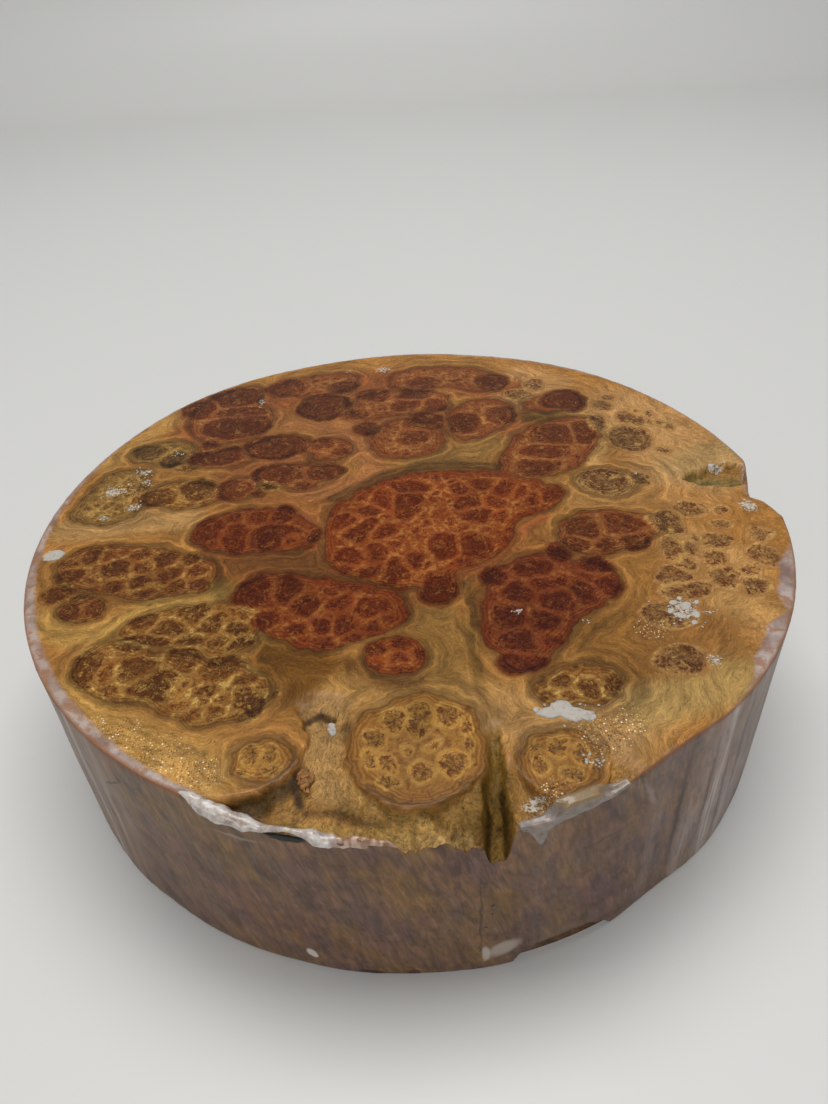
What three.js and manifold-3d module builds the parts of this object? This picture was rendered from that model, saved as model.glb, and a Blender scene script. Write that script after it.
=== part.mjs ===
// A bowl blank bandsawn from a mallee burl: a thick disc with two sawn faces, a stretch of the
// burl's own natural edge along the front of its top, and lumps of congealed sealing wax.
// Millimetres, +Z up. The origin is on the disc's axis at the underside, and -Y is the front.

import * as THREE from "three";
import { mergeVertices } from "three/addons/utils/BufferGeometryUtils.js";
import Module from "manifold-3d";

const wasm = await Module();
wasm.setup();

// Sawn disc
const RADIUS = 140;
const THICKNESS = 76;
const RIM_STEPS = 180;
// Where the hand-guided saw cut ran a little outside or inside the marked circle
const RIM_SWELLS = [
  { at: 129, spread: 20, out: 3.0 },
  { at: 88, spread: 14, out: 1.4 },
  { at: 54, spread: 20, out: 2.4 },
  { at: -58, spread: 7, out: -1.8 },
];

// Natural edge: the bark surface dips below the sawn face between these angles of the rim
const EDGE_FROM = -115;
const EDGE_TO = -68;
const EDGE_FADE = 5;
const EDGE_DROP = 5;
const EDGE_REACH = 24;
const CUTTER_CELL = 2;
const CUTTER_LIFT = 0.6;
// Flat-topped lobes of burl that stand up from the bark surface to the sawn face
const LOBES = [
  { name: "left", x: -52, y: -108, rx: 21, ry: 19 },
  { name: "centre", x: 0, y: -113, rx: 20, ry: 20.5 },
  { name: "right", x: 39, y: -117, rx: 14, ry: 18 },
];
const LOBE_WALL = 2.5;
// Sunken valley between the left and centre lobes
const VALLEY = { x: -27, from: -97, fade: 5, halfWidth: 13, drop: 5.5 };
// Cleft between the centre and right lobes, opening and deepening towards the rim
const CLEFT = {
  x: 22.5,
  rimX: 19.5,
  from: -98,
  halfWidth: 1,
  rimHalfWidth: 5.2,
  drop: 2,
  rimDrop: 18,
};
// Splinter that stands in the valley
const SPLINTER = { x: -30, y: -121, radius: 2.6, height: 6.5, lean: 0.35 };

// Bark pocket that bites into the right rear of the rim and shelves out below
const BITE_DEPTH = 60;
const BITE_OUTLINE = [
  [139.5, 30],
  [137, 20],
  [134.5, 8],
  [131, -3],
  [136, -8],
  [138.2, -16],
  [141, -22],
];
// Shallow hollow in the top beside that pocket
const HOLLOW = { x: 121, y: 11, rx: 11, ry: 9, depth: 4 };
// Missing edge at the underside, front right
const UNDERCHIP = { at: -73, halfLength: 19, inset: 6, height: 7 };

// Wax
const GAP = 0.3;
const BEAD = { from: -115, to: -97, radius: 138.8, thick: 3.8, tall: 3.4 };
const DRIP = { from: -80, to: -67, tip: -77.3, top: 75.6, tipHeight: 64, stand: 2.2 };
const FLAKE_THICKNESS = 1.1;
const FLAKES = [
  { name: "wax_flake_front", x: 43, y: -104, length: 16, width: 8, turn: -14 },
  { name: "wax_flake_left", x: -131, y: -15, length: 9, width: 7, turn: 20 },
  { name: "wax_flake_right", x: 88, y: -65, length: 11, width: 9, turn: 55 },
];

const burlWood = new THREE.MeshStandardMaterial({
  color: 0x7a3e1e,
  roughness: 0.38,
  metalness: 0,
});
const wax = new THREE.MeshStandardMaterial({
  color: 0xd8d4d0,
  roughness: 0.3,
  metalness: 0,
});

const radians = THREE.MathUtils.degToRad;
const smoothstep = THREE.MathUtils.smoothstep;
const lerp = THREE.MathUtils.lerp;

function onRim(degrees, radius) {
  const angle = radians(degrees);
  return new THREE.Vector2(radius * Math.cos(angle), radius * Math.sin(angle));
}

function rimRadius(degrees) {
  let radius = RADIUS;
  for (const swell of RIM_SWELLS) {
    const away = ((degrees - swell.at + 540) % 360) - 180;
    radius += swell.out * Math.exp(-((away / swell.spread) ** 2));
  }
  return radius;
}

// Boolean solids

function toSolid(geometry) {
  const bare = geometry.clone();
  bare.deleteAttribute("normal");
  bare.deleteAttribute("uv");
  const merged = mergeVertices(bare, 1e-4);
  const mesh = new wasm.Mesh({
    numProp: 3,
    vertProperties: merged.attributes.position.array,
    triVerts: new Uint32Array(merged.index.array),
  });
  return new wasm.Manifold(mesh);
}

function toGeometry(solid) {
  const mesh = solid.getMesh();
  const geometry = new THREE.BufferGeometry();
  geometry.setAttribute("position", new THREE.BufferAttribute(mesh.vertProperties, 3));
  geometry.setIndex(new THREE.BufferAttribute(mesh.triVerts, 1));
  const faceted = geometry.toNonIndexed();
  faceted.computeVertexNormals();
  return faceted;
}

// Sawn disc, standing on z = 0
function sawnDisc() {
  const outline = [];
  for (let step = 0; step < RIM_STEPS; step += 1) {
    const degrees = (step * 360) / RIM_STEPS;
    outline.push(onRim(degrees, rimRadius(degrees)));
  }
  const disc = new THREE.ExtrudeGeometry(new THREE.Shape(outline), {
    depth: THICKNESS,
    bevelEnabled: false,
  });
  return toSolid(disc);
}

// Natural edge

function insideLobe(x, y) {
  let inside = 0;
  for (const lobe of LOBES) {
    const scale = Math.hypot((x - lobe.x) / lobe.rx, (y - lobe.y) / lobe.ry);
    const beyond = (scale - 1) * Math.min(lobe.rx, lobe.ry);
    inside = Math.max(inside, 1 - smoothstep(beyond, -LOBE_WALL / 2, LOBE_WALL / 2));
  }
  return inside;
}

// How far the wood's top lies below the sawn face
function edgeDrop(x, y) {
  const degrees = THREE.MathUtils.radToDeg(Math.atan2(y, x));
  const inward = Math.max(0, rimRadius(degrees) - Math.hypot(x, y));
  const along =
    smoothstep(degrees, EDGE_FROM - EDGE_FADE, EDGE_FROM + EDGE_FADE) *
    (1 - smoothstep(degrees, EDGE_TO - EDGE_FADE, EDGE_TO + EDGE_FADE));
  const slope = EDGE_DROP * (1 - smoothstep(inward, 0, EDGE_REACH));

  const head = Math.hypot(x - VALLEY.x, Math.max(0, y - VALLEY.from + VALLEY.fade));
  const valley = VALLEY.drop * (1 - smoothstep(head, VALLEY.fade, VALLEY.halfWidth));

  const run = THREE.MathUtils.clamp((CLEFT.from - y) / (CLEFT.from + RADIUS), 0, 1);
  const half = lerp(CLEFT.halfWidth, CLEFT.rimHalfWidth, run);
  const across = Math.abs(x - lerp(CLEFT.x, CLEFT.rimX, run)) / half;
  const wall = 1 - smoothstep(across, 0.65, 1.2);
  const open = smoothstep(CLEFT.from - y, 0, 4);
  const cleft = lerp(CLEFT.drop, CLEFT.rimDrop, smoothstep(run, 0, 1)) * wall * open;

  const bark = along * Math.max(slope, valley) * (1 - insideLobe(x, y));
  return Math.max(bark, cleft);
}

// Block of air above the natural edge: its underside follows the bark surface
function edgeCutter() {
  const left = -66;
  const right = 62;
  const front = -RADIUS - 8;
  const back = -86;
  const width = right - left;
  const depth = back - front;
  const height = 8;
  const columns = Math.round(width / CUTTER_CELL);
  const rows = Math.round(depth / CUTTER_CELL);
  const block = new THREE.BoxGeometry(width, depth, height, columns, rows, 1);
  block.translate((left + right) / 2, (front + back) / 2, THICKNESS + height / 2);
  const place = block.attributes.position;
  for (let i = 0; i < place.count; i += 1) {
    if (place.getZ(i) < THICKNESS + height / 2) {
      const drop = edgeDrop(place.getX(i), place.getY(i));
      place.setZ(i, THICKNESS + CUTTER_LIFT - drop * (1 + CUTTER_LIFT / EDGE_DROP));
    }
  }
  return toSolid(block);
}

// Upright splinter, rooted in the valley floor
function splinter() {
  const cone = new THREE.ConeGeometry(SPLINTER.radius, SPLINTER.height, 7);
  cone.rotateX(Math.PI / 2);
  cone.rotateY(SPLINTER.lean);
  const floor = THICKNESS - edgeDrop(SPLINTER.x, SPLINTER.y);
  cone.translate(SPLINTER.x, SPLINTER.y, floor + SPLINTER.height / 2 - 1.5);
  return toSolid(cone);
}

// Pocket at the right rear: it leans outwards, so that it shelves out to the sawn side below
function biteCutter() {
  const bite = new THREE.Shape();
  const inner = BITE_OUTLINE.map(([x, y]) => new THREE.Vector2(x, y));
  bite.moveTo(RADIUS + 12, inner[0].y);
  bite.lineTo(inner[0].x, inner[0].y);
  for (const point of inner.slice(1)) bite.lineTo(point.x, point.y);
  bite.lineTo(RADIUS + 12, inner[inner.length - 1].y);
  const prism = new THREE.ExtrudeGeometry(bite, { depth: BITE_DEPTH + 1, bevelEnabled: false });
  const place = prism.attributes.position;
  const deepest = RADIUS - 131;
  for (let i = 0; i < place.count; i += 1) {
    const share = 1 - place.getZ(i) / BITE_DEPTH;
    const x = place.getX(i);
    if (x < RADIUS + 3) place.setX(i, x + share * (deepest + 1));
  }
  prism.translate(0, 0, THICKNESS - BITE_DEPTH);
  return toSolid(prism);
}

function ellipsoid(rx, ry, rz, around = 28, down = 14) {
  const ball = new THREE.SphereGeometry(1, around, down);
  ball.scale(rx, ry, rz);
  return ball;
}

function hollowCutter() {
  const pit = ellipsoid(HOLLOW.rx, HOLLOW.ry, HOLLOW.depth);
  pit.translate(HOLLOW.x, HOLLOW.y, THICKNESS);
  return toSolid(pit);
}

function underchipCutter() {
  const chip = ellipsoid(UNDERCHIP.inset, UNDERCHIP.halfLength, UNDERCHIP.height);
  chip.rotateZ(radians(UNDERCHIP.at));
  const middle = onRim(UNDERCHIP.at, rimRadius(UNDERCHIP.at));
  chip.translate(middle.x, middle.y, 0);
  return toSolid(chip);
}

function burlBlank() {
  return sawnDisc()
    .subtract(edgeCutter())
    .add(splinter())
    .subtract(biteCutter())
    .subtract(hollowCutter())
    .subtract(underchipCutter());
}

// Wax lumps. Each is cut back by the wood grown by GAP, so that it lies just clear of it.

function clearOf(wood) {
  const grow = 1 + GAP / (RADIUS - 10);
  return wood.scale([grow, grow, 1]).translate([0, 0, GAP]);
}

// Bead congealed along the front-left rim, on the bark ledge
function waxBead(wood) {
  const steps = 12;
  const route = [];
  for (let step = 0; step <= steps; step += 1) {
    const place = onRim(lerp(BEAD.from, BEAD.to, step / steps), BEAD.radius);
    const floor = THICKNESS - edgeDrop(place.x, place.y);
    route.push(new THREE.Vector3(place.x, place.y, floor + BEAD.tall / 2));
  }
  const section = new THREE.Shape();
  section.absellipse(0, 0, BEAD.tall / 2, BEAD.thick / 2, 0, 2 * Math.PI);
  const tube = new THREE.ExtrudeGeometry(section, {
    curveSegments: 6,
    steps: 24,
    extrudePath: new THREE.CatmullRomCurve3(route),
  });
  return toSolid(tube).subtract(clearOf(wood));
}

// Curtain with one drip, drawn flat as arc length against height and then wrapped on the side
function waxDrip(wood) {
  const arc = (degrees) => radians(degrees) * RADIUS;
  const curtain = new THREE.Shape();
  curtain.moveTo(arc(DRIP.from), DRIP.top - 1.5);
  curtain.quadraticCurveTo(arc(DRIP.from + 1), 69.5, arc(DRIP.tip) - 2.6, 69);
  curtain.quadraticCurveTo(arc(DRIP.tip) - 1.4, DRIP.tipHeight, arc(DRIP.tip), DRIP.tipHeight);
  curtain.quadraticCurveTo(arc(DRIP.tip) + 1.4, DRIP.tipHeight, arc(DRIP.tip) + 2.8, 68.6);
  curtain.quadraticCurveTo(arc(-73), 71.5, arc(DRIP.to), DRIP.top - 1);
  curtain.lineTo(arc(DRIP.to) - 1, DRIP.top);
  curtain.lineTo(arc(DRIP.from) + 2, DRIP.top);
  curtain.closePath();
  const sheet = new THREE.ExtrudeGeometry(curtain, {
    depth: DRIP.stand + 2,
    curveSegments: 8,
    bevelEnabled: false,
  });
  const place = sheet.attributes.position;
  for (let i = 0; i < place.count; i += 1) {
    const degrees = THREE.MathUtils.radToDeg(place.getX(i) / RADIUS);
    const point = onRim(degrees, rimRadius(degrees) - 2 + place.getZ(i));
    place.setXYZ(i, point.x, point.y, place.getY(i));
  }
  return toSolid(sheet).subtract(clearOf(wood));
}

// Ragged flake lying on the sawn face
function waxFlake(flake) {
  const corners = 14;
  const points = [];
  for (let corner = 0; corner < corners; corner += 1) {
    const angle = (corner / corners) * 2 * Math.PI;
    const ragged = 1 - 0.12 * Math.sin(3 * angle + flake.x) - 0.08 * Math.cos(5 * angle + flake.y);
    const x = (flake.length / 2) * ragged * Math.cos(angle);
    const y = (flake.width / 2) * ragged * Math.sin(angle);
    points.push(new THREE.Vector2(x, y));
  }
  const slab = new THREE.ExtrudeGeometry(new THREE.Shape(points), {
    depth: FLAKE_THICKNESS,
    bevelEnabled: false,
  });
  slab.rotateZ(radians(flake.turn));
  slab.translate(flake.x, flake.y, THICKNESS + GAP);
  return slab;
}

function named(name, geometry, material) {
  const mesh = new THREE.Mesh(geometry, material.clone());
  mesh.name = name;
  return mesh;
}

const wood = burlBlank();
const bowlBlank = new THREE.Group();
bowlBlank.name = "mallee_burl_bowl_blank";
bowlBlank.add(named("burl_blank", toGeometry(wood), burlWood));
bowlBlank.add(named("wax_bead", toGeometry(waxBead(wood)), wax));
bowlBlank.add(named("wax_drip", toGeometry(waxDrip(wood)), wax));
for (const flake of FLAKES) {
  bowlBlank.add(named(flake.name, waxFlake(flake), wax));
}

export default bowlBlank;
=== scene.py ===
import itertools
import math

import bmesh
import bpy
import numpy as np
from mathutils import Matrix, Vector
from mathutils.bvhtree import BVHTree


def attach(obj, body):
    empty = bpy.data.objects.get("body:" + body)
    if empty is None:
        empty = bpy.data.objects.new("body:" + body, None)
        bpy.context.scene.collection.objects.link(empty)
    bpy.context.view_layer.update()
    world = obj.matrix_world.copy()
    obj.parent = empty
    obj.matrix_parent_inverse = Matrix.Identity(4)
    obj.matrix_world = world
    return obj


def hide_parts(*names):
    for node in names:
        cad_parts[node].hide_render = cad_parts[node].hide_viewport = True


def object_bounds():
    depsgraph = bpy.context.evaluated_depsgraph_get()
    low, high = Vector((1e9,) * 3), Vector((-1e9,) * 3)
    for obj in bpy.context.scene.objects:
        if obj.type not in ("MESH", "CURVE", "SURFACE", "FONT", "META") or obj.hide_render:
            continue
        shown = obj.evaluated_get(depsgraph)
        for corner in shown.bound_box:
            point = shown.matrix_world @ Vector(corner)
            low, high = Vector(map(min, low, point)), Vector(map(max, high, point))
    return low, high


# Bowl blank sawn from a mallee burl, waxed against drying. Shapes are worked out in millimetres,
# with the origin on the disc's axis at the underside and -Y at the natural edge, and scaled to metres.

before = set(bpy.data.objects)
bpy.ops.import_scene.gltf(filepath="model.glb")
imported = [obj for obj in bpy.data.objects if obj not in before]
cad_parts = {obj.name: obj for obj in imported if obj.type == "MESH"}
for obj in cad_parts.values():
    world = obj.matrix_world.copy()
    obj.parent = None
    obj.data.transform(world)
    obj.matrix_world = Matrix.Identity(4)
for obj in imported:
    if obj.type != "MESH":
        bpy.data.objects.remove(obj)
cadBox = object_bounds()
mm = 0.001


def toLinear(hexColour):
    channels = [int(hexColour[at:at + 2], 16) / 255 for at in (1, 3, 5)]
    return [c / 12.92 if c <= 0.04045 else ((c + 0.055) / 1.055) ** 2.4 for c in channels] + [1.0]


def smoothStep(value, low, high):
    share = np.clip((value - low) / (high - low), 0, 1)
    return share * share * (3 - 2 * share)


def softNoise(places, size, seed):
    # lattice noise from -1 to 1, one cell per size in mm, size may differ by axis
    table = np.random.default_rng(seed).uniform(-1, 1, 8192)
    places = places / np.asarray(size)
    cell = np.floor(places).astype(np.int64)
    part = places - cell
    part = part * part * part * (part * (part * 6 - 15) + 10)
    strides = (73856093, 19349663, 83492791)
    total = np.zeros(len(places))
    for corner in itertools.product((0, 1), repeat=places.shape[1]):
        weight = np.ones(len(places))
        index = np.zeros(len(places), np.int64)
        for axis, step in enumerate(corner):
            weight *= part[:, axis] if step else 1 - part[:, axis]
            index ^= (cell[:, axis] + step) * strides[axis]
        total += weight * table[index % len(table)]
    return total


# Blank

blank = {
    "radius": 140,
    "thickness": 76,
    "rimSwells": [(129, 20, 3.0), (88, 14, 1.4), (54, 20, 2.4), (-58, 7, -1.8)],  # at, spread, out
    "edgeBreak": 0.9,
    "brim": 0.9999,  # share of the unit template's radius or height that counts as its rim or top
    "topCells": 224,  # grid cells across the top
    "sideRows": 25,
    "fineFrom": -64,  # the natural edge gets a grid twice as fine
    "fineTo": 58,
    "fineFront": -90,
    "fineAngles": (-117, -65),
    "fineHeight": 0.68,
}

naturalEdge = {
    "from": -115,
    "to": -68,
    "fade": 5,
    "drop": 5,
    "reach": 21,
    "wall": 2.2,
    "lobes": [(-52, -108, 21, 19), (0, -113, 20, 20.5), (39, -117, 14, 18)],
    "valley": {"x": -27, "from": -97, "fade": 5, "halfWidth": 13, "drop": 1.5},
    "pit": {"x": -27, "y": -101.5, "rx": 5.5, "ry": 4.4, "drop": 1.2},
    "cleft": {"x": 22.5, "rimX": 19.5, "from": -101, "steepFrom": -118, "halfWidth": 1,
              "rimHalfWidth": 5.2, "drop": 3, "rimDrop": 18},
    "undercut": 1.7,
    # how much lower the torn lip of the bark hangs over the side: angle, mm
    "torn": [(-99.5, 0), (-96, 0.6), (-93.5, 0.9), (-92, 2.4), (-90.7, 4.4), (-89.6, 2.2),
             (-87.8, 1.7), (-86.4, 3.2), (-85, 5.6), (-83.6, 6), (-82.4, 0)],
    "fibreRelief": 0.2,
    "fibreWidth": 1.1,
    "fibreLength": 11,
}

barkPocket = {
    "outline": [(141.3, 40), (140.4, 32), (139.2, 26), (137.6, 19), (135.9, 13), (134.2, 7),
                (132.4, 1.5), (131.4, -3.5), (135.6, -7), (138.2, -15), (141, -22)],
    "lean": 10,
    "depth": 60,
    "hollow": [(109.5, 12), (113, 16), (118, 17.5), (122, 19), (127, 21), (133, 21), (137, 18),
               (138, 10), (134, 4), (127, 3.5), (120, 4.5), (114, 7)],
    "hollowDepth": 4.2,
}

underChip = {"at": -72.5, "halfLength": 17, "inset": 3.6, "height": 7}


def turnFrom(at, degrees):
    # degrees from one angle round to another, -180 to 180
    return (degrees - at + 540) % 360 - 180


def roundTheRim(degrees):
    # mm along the rim
    return degrees * blank["radius"] * math.pi / 180


def rimRadius(degrees, height):
    radius = np.full_like(degrees, float(blank["radius"]))
    for at, spread, out in blank["rimSwells"]:
        away = turnFrom(at, degrees)
        radius = radius + out * np.exp(-((away / spread) ** 2))
    outline = np.array(barkPocket["outline"][::-1], float)
    angles = np.degrees(np.arctan2(outline[:, 1], outline[:, 0]))
    pocket = np.interp(degrees, angles, np.hypot(outline[:, 0], outline[:, 1]), left=200, right=200)
    lean = barkPocket["lean"] * (blank["thickness"] - height) / barkPocket["depth"]
    return np.minimum(radius, pocket + np.maximum(lean, 0))


def lobeBeyond(x, y):
    # mm beyond the nearest standing lobe, and the way to its middle
    best = np.full_like(x, 1e3)
    toX = np.zeros_like(x)
    toY = np.zeros_like(x)
    for cx, cy, rx, ry in naturalEdge["lobes"]:
        scale = np.hypot((x - cx) / rx, (y - cy) / ry)
        beyond = (scale - 1) * min(rx, ry)
        away = np.maximum(np.hypot(x - cx, y - cy), 1e-6)
        nearer = beyond < best
        toX = np.where(nearer, (cx - x) / away, toX)
        toY = np.where(nearer, (cy - y) / away, toY)
        best = np.where(nearer, beyond, best)
    return best, toX, toY


def edgeDrop(x, y):
    # how far the top lies below the sawn face, the share of it that is bark, and the undercut
    edge, valley, cleft, pit = (naturalEdge, naturalEdge["valley"], naturalEdge["cleft"],
                                naturalEdge["pit"])
    flat = np.stack([x, y], 1)
    x = x + 0.9 * softNoise(flat, 4.5, 11) + 0.35 * softNoise(flat, 1.7, 12)
    y = y + 0.9 * softNoise(flat, 4.5, 13) + 0.35 * softNoise(flat, 1.7, 14)
    degrees = np.degrees(np.arctan2(y, x))
    inward = np.maximum(rimRadius(degrees, blank["thickness"]) - np.hypot(x, y), 0)
    along = (smoothStep(degrees, edge["from"] - edge["fade"], edge["from"] + edge["fade"])
             * (1 - smoothStep(degrees, edge["to"] - edge["fade"], edge["to"] + edge["fade"])))
    slope = edge["drop"] * (1 - smoothStep(inward, 0, edge["reach"]))
    head = np.hypot(x - valley["x"], np.maximum(y - valley["from"] + valley["fade"], 0))
    sunk = valley["drop"] * (1 - smoothStep(head, valley["fade"], valley["halfWidth"]))
    beyond, toX, toY = lobeBeyond(x, y)
    outside = smoothStep(beyond, -edge["wall"] / 2, edge["wall"] / 2)
    bark = along * np.maximum(slope, sunk) * outside
    radius = blank["radius"]
    run = np.clip((cleft["from"] - y) / (cleft["from"] + radius), 0, 1)
    half = cleft["halfWidth"] + (cleft["rimHalfWidth"] - cleft["halfWidth"]) * run
    middle = cleft["x"] + (cleft["rimX"] - cleft["x"]) * run
    wall = 1 - smoothStep(np.abs(x - middle) / half, 0.3, 1.25)
    opened = smoothStep(cleft["from"] - y, 0, 14)
    tornAt, tornBy = (np.array(column, float) for column in zip(*edge["torn"]))
    torn = np.interp(degrees, tornAt, tornBy, left=0, right=0)
    torn = torn * (1 + 0.5 * softNoise(flat, 1.6, 15))
    bark = bark + torn * (1 - smoothStep(inward, 0.6, 5.5))
    steep = smoothStep(cleft["steepFrom"] - y, 0, cleft["steepFrom"] + radius) ** 1.2
    deep = cleft["drop"] * smoothStep(run, 0, 0.4) + (cleft["rimDrop"] - cleft["drop"]) * steep
    split = deep * wall * opened
    away = np.hypot((x - pit["x"]) / pit["rx"], (y - pit["y"]) / pit["ry"])
    bark = bark + pit["drop"] * (1 - smoothStep(away, 0.5, 1.05))
    drop = np.maximum(bark, split)
    tuck = (edge["undercut"] * smoothStep(beyond, -1.2, 0.6) * (1 - smoothStep(beyond, 0.8, 5))
            * np.clip(bark / 5, 0, 1) * (split < 1))
    barky = np.clip(drop / 1.2, 0, 1) * np.maximum(outside, wall * opened)
    return drop, barky, tuck * toX, tuck * toY


def blankTemplate():
    # unit cylinder: an even grid on top, rows down the side, rings below; returns a bmesh
    cells = blank["topCells"]
    steps = np.linspace(-1, 1, cells + 1)
    u, v = (grid.ravel() for grid in np.meshgrid(steps, steps, indexing="ij"))
    wide = np.abs(u) >= np.abs(v)
    reach = np.where(wide, u, v)
    ratio = np.where(wide, v, u) / np.where(np.abs(reach) < 1e-12, 1, reach)
    angle = np.where(wide, ratio * math.pi / 4, math.pi / 2 - ratio * math.pi / 4)
    points = [(r * math.cos(a), r * math.sin(a), 1.0) for r, a in zip(reach, angle)]
    faces = []
    for i in range(cells):
        for j in range(cells):
            a = i * (cells + 1) + j
            faces.append((a, a + cells + 1, a + cells + 2, a + 1))
    rim = ([i * (cells + 1) for i in range(cells)]
           + [cells * (cells + 1) + j for j in range(cells)]
           + [i * (cells + 1) + cells for i in range(cells, 0, -1)]
           + list(range(cells, 0, -1)))
    flat = [points[i][:2] for i in rim]
    chamfer = blank["edgeBreak"] / blank["thickness"]
    heights = [1 - chamfer, *np.linspace(1 - 3 * chamfer, 3 * chamfer, blank["sideRows"]), chamfer, 0]
    rows = [rim]
    for height in heights:
        rows.append(list(range(len(points), len(points) + len(rim))))
        points += [(x, y, height) for x, y in flat]
    for upper, lower in zip(rows, rows[1:]):
        for k in range(len(rim)):
            n = (k + 1) % len(rim)
            faces.append((upper[k], lower[k], lower[n], upper[n]))
    ring, step = rows[-1], 1
    for radius, thin in ((0.985, 1), (0.95, 2), (0.88, 2), (0.74, 1), (0.55, 1), (0.35, 2), (0.15, 1)):
        step *= thin
        inner = list(range(len(points), len(points) + len(rim) // step))
        points += [(x * radius, y * radius, 0.0) for x, y in flat[::step]]
        count = len(inner)
        for k in range(count):
            n = (k + 1) % count
            if thin == 1:
                faces.append((ring[k], inner[k], inner[n], ring[n]))
            else:
                a, b, c = ring[2 * k], ring[2 * k + 1], ring[(2 * k + 2) % len(ring)]
                faces += [(a, inner[k], b), (b, inner[k], inner[n]), (b, inner[n], c)]
        ring = inner
    middle = len(points)
    points.append((0.0, 0.0, 0.0))
    faces += [(ring[k], middle, ring[(k + 1) % len(ring)]) for k in range(len(ring))]
    mesh = bpy.data.meshes.new("template")
    mesh.from_pydata(points, [], faces)
    work = bmesh.new()
    work.from_mesh(mesh)
    bpy.data.meshes.remove(mesh)
    radius = blank["radius"]

    def isFine(vert):
        x, y, height = vert.co
        if height > blank["brim"]:
            return blank["fineFrom"] < x * radius < blank["fineTo"] and y * radius < blank["fineFront"]
        low, high = blank["fineAngles"]
        return height > blank["fineHeight"] and low < math.degrees(math.atan2(y, x)) < high

    fine = {vert for vert in work.verts if isFine(vert)}
    edges = [edge for edge in work.edges if edge.verts[0] in fine and edge.verts[1] in fine]
    bmesh.ops.subdivide_edges(work, edges=edges, cuts=1, use_grid_fill=True)
    bmesh.ops.triangulate(work, faces=[face for face in work.faces if len(face.verts) > 4])
    return work


# Figure: where the lobes, their cells and the ground colours lie on the sawn face, drawn one by one

styles = {  # cell, network line, strength of the network and of the dark dashes
    "heart": ("#6c2c0c", "#aa6e34", 0.8, 0.5),
    "russet": ("#64280c", "#9e652e", 0.7, 0.5),
    "maroon": ("#60260e", "#9a6030", 0.7, 0.5),
    "redBrown": ("#703818", "#aa7840", 0.8, 0.5),
    "umber": ("#683816", "#aa8240", 0.9, 0.55),
    "brown": ("#704318", "#bc9650", 1.0, 0.65),
    "golden": ("#825624", "#ac823e", 0.4, 0.5),
    "goldenEye": ("#92662c", "#b8904a", 0.7, 1.0),
    "eye": ("#946839", "#c49e5c", 0.9, 1.0),
    "olive": ("#6a4c22", "#b08848", 0.9, 0.7),
}

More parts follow.
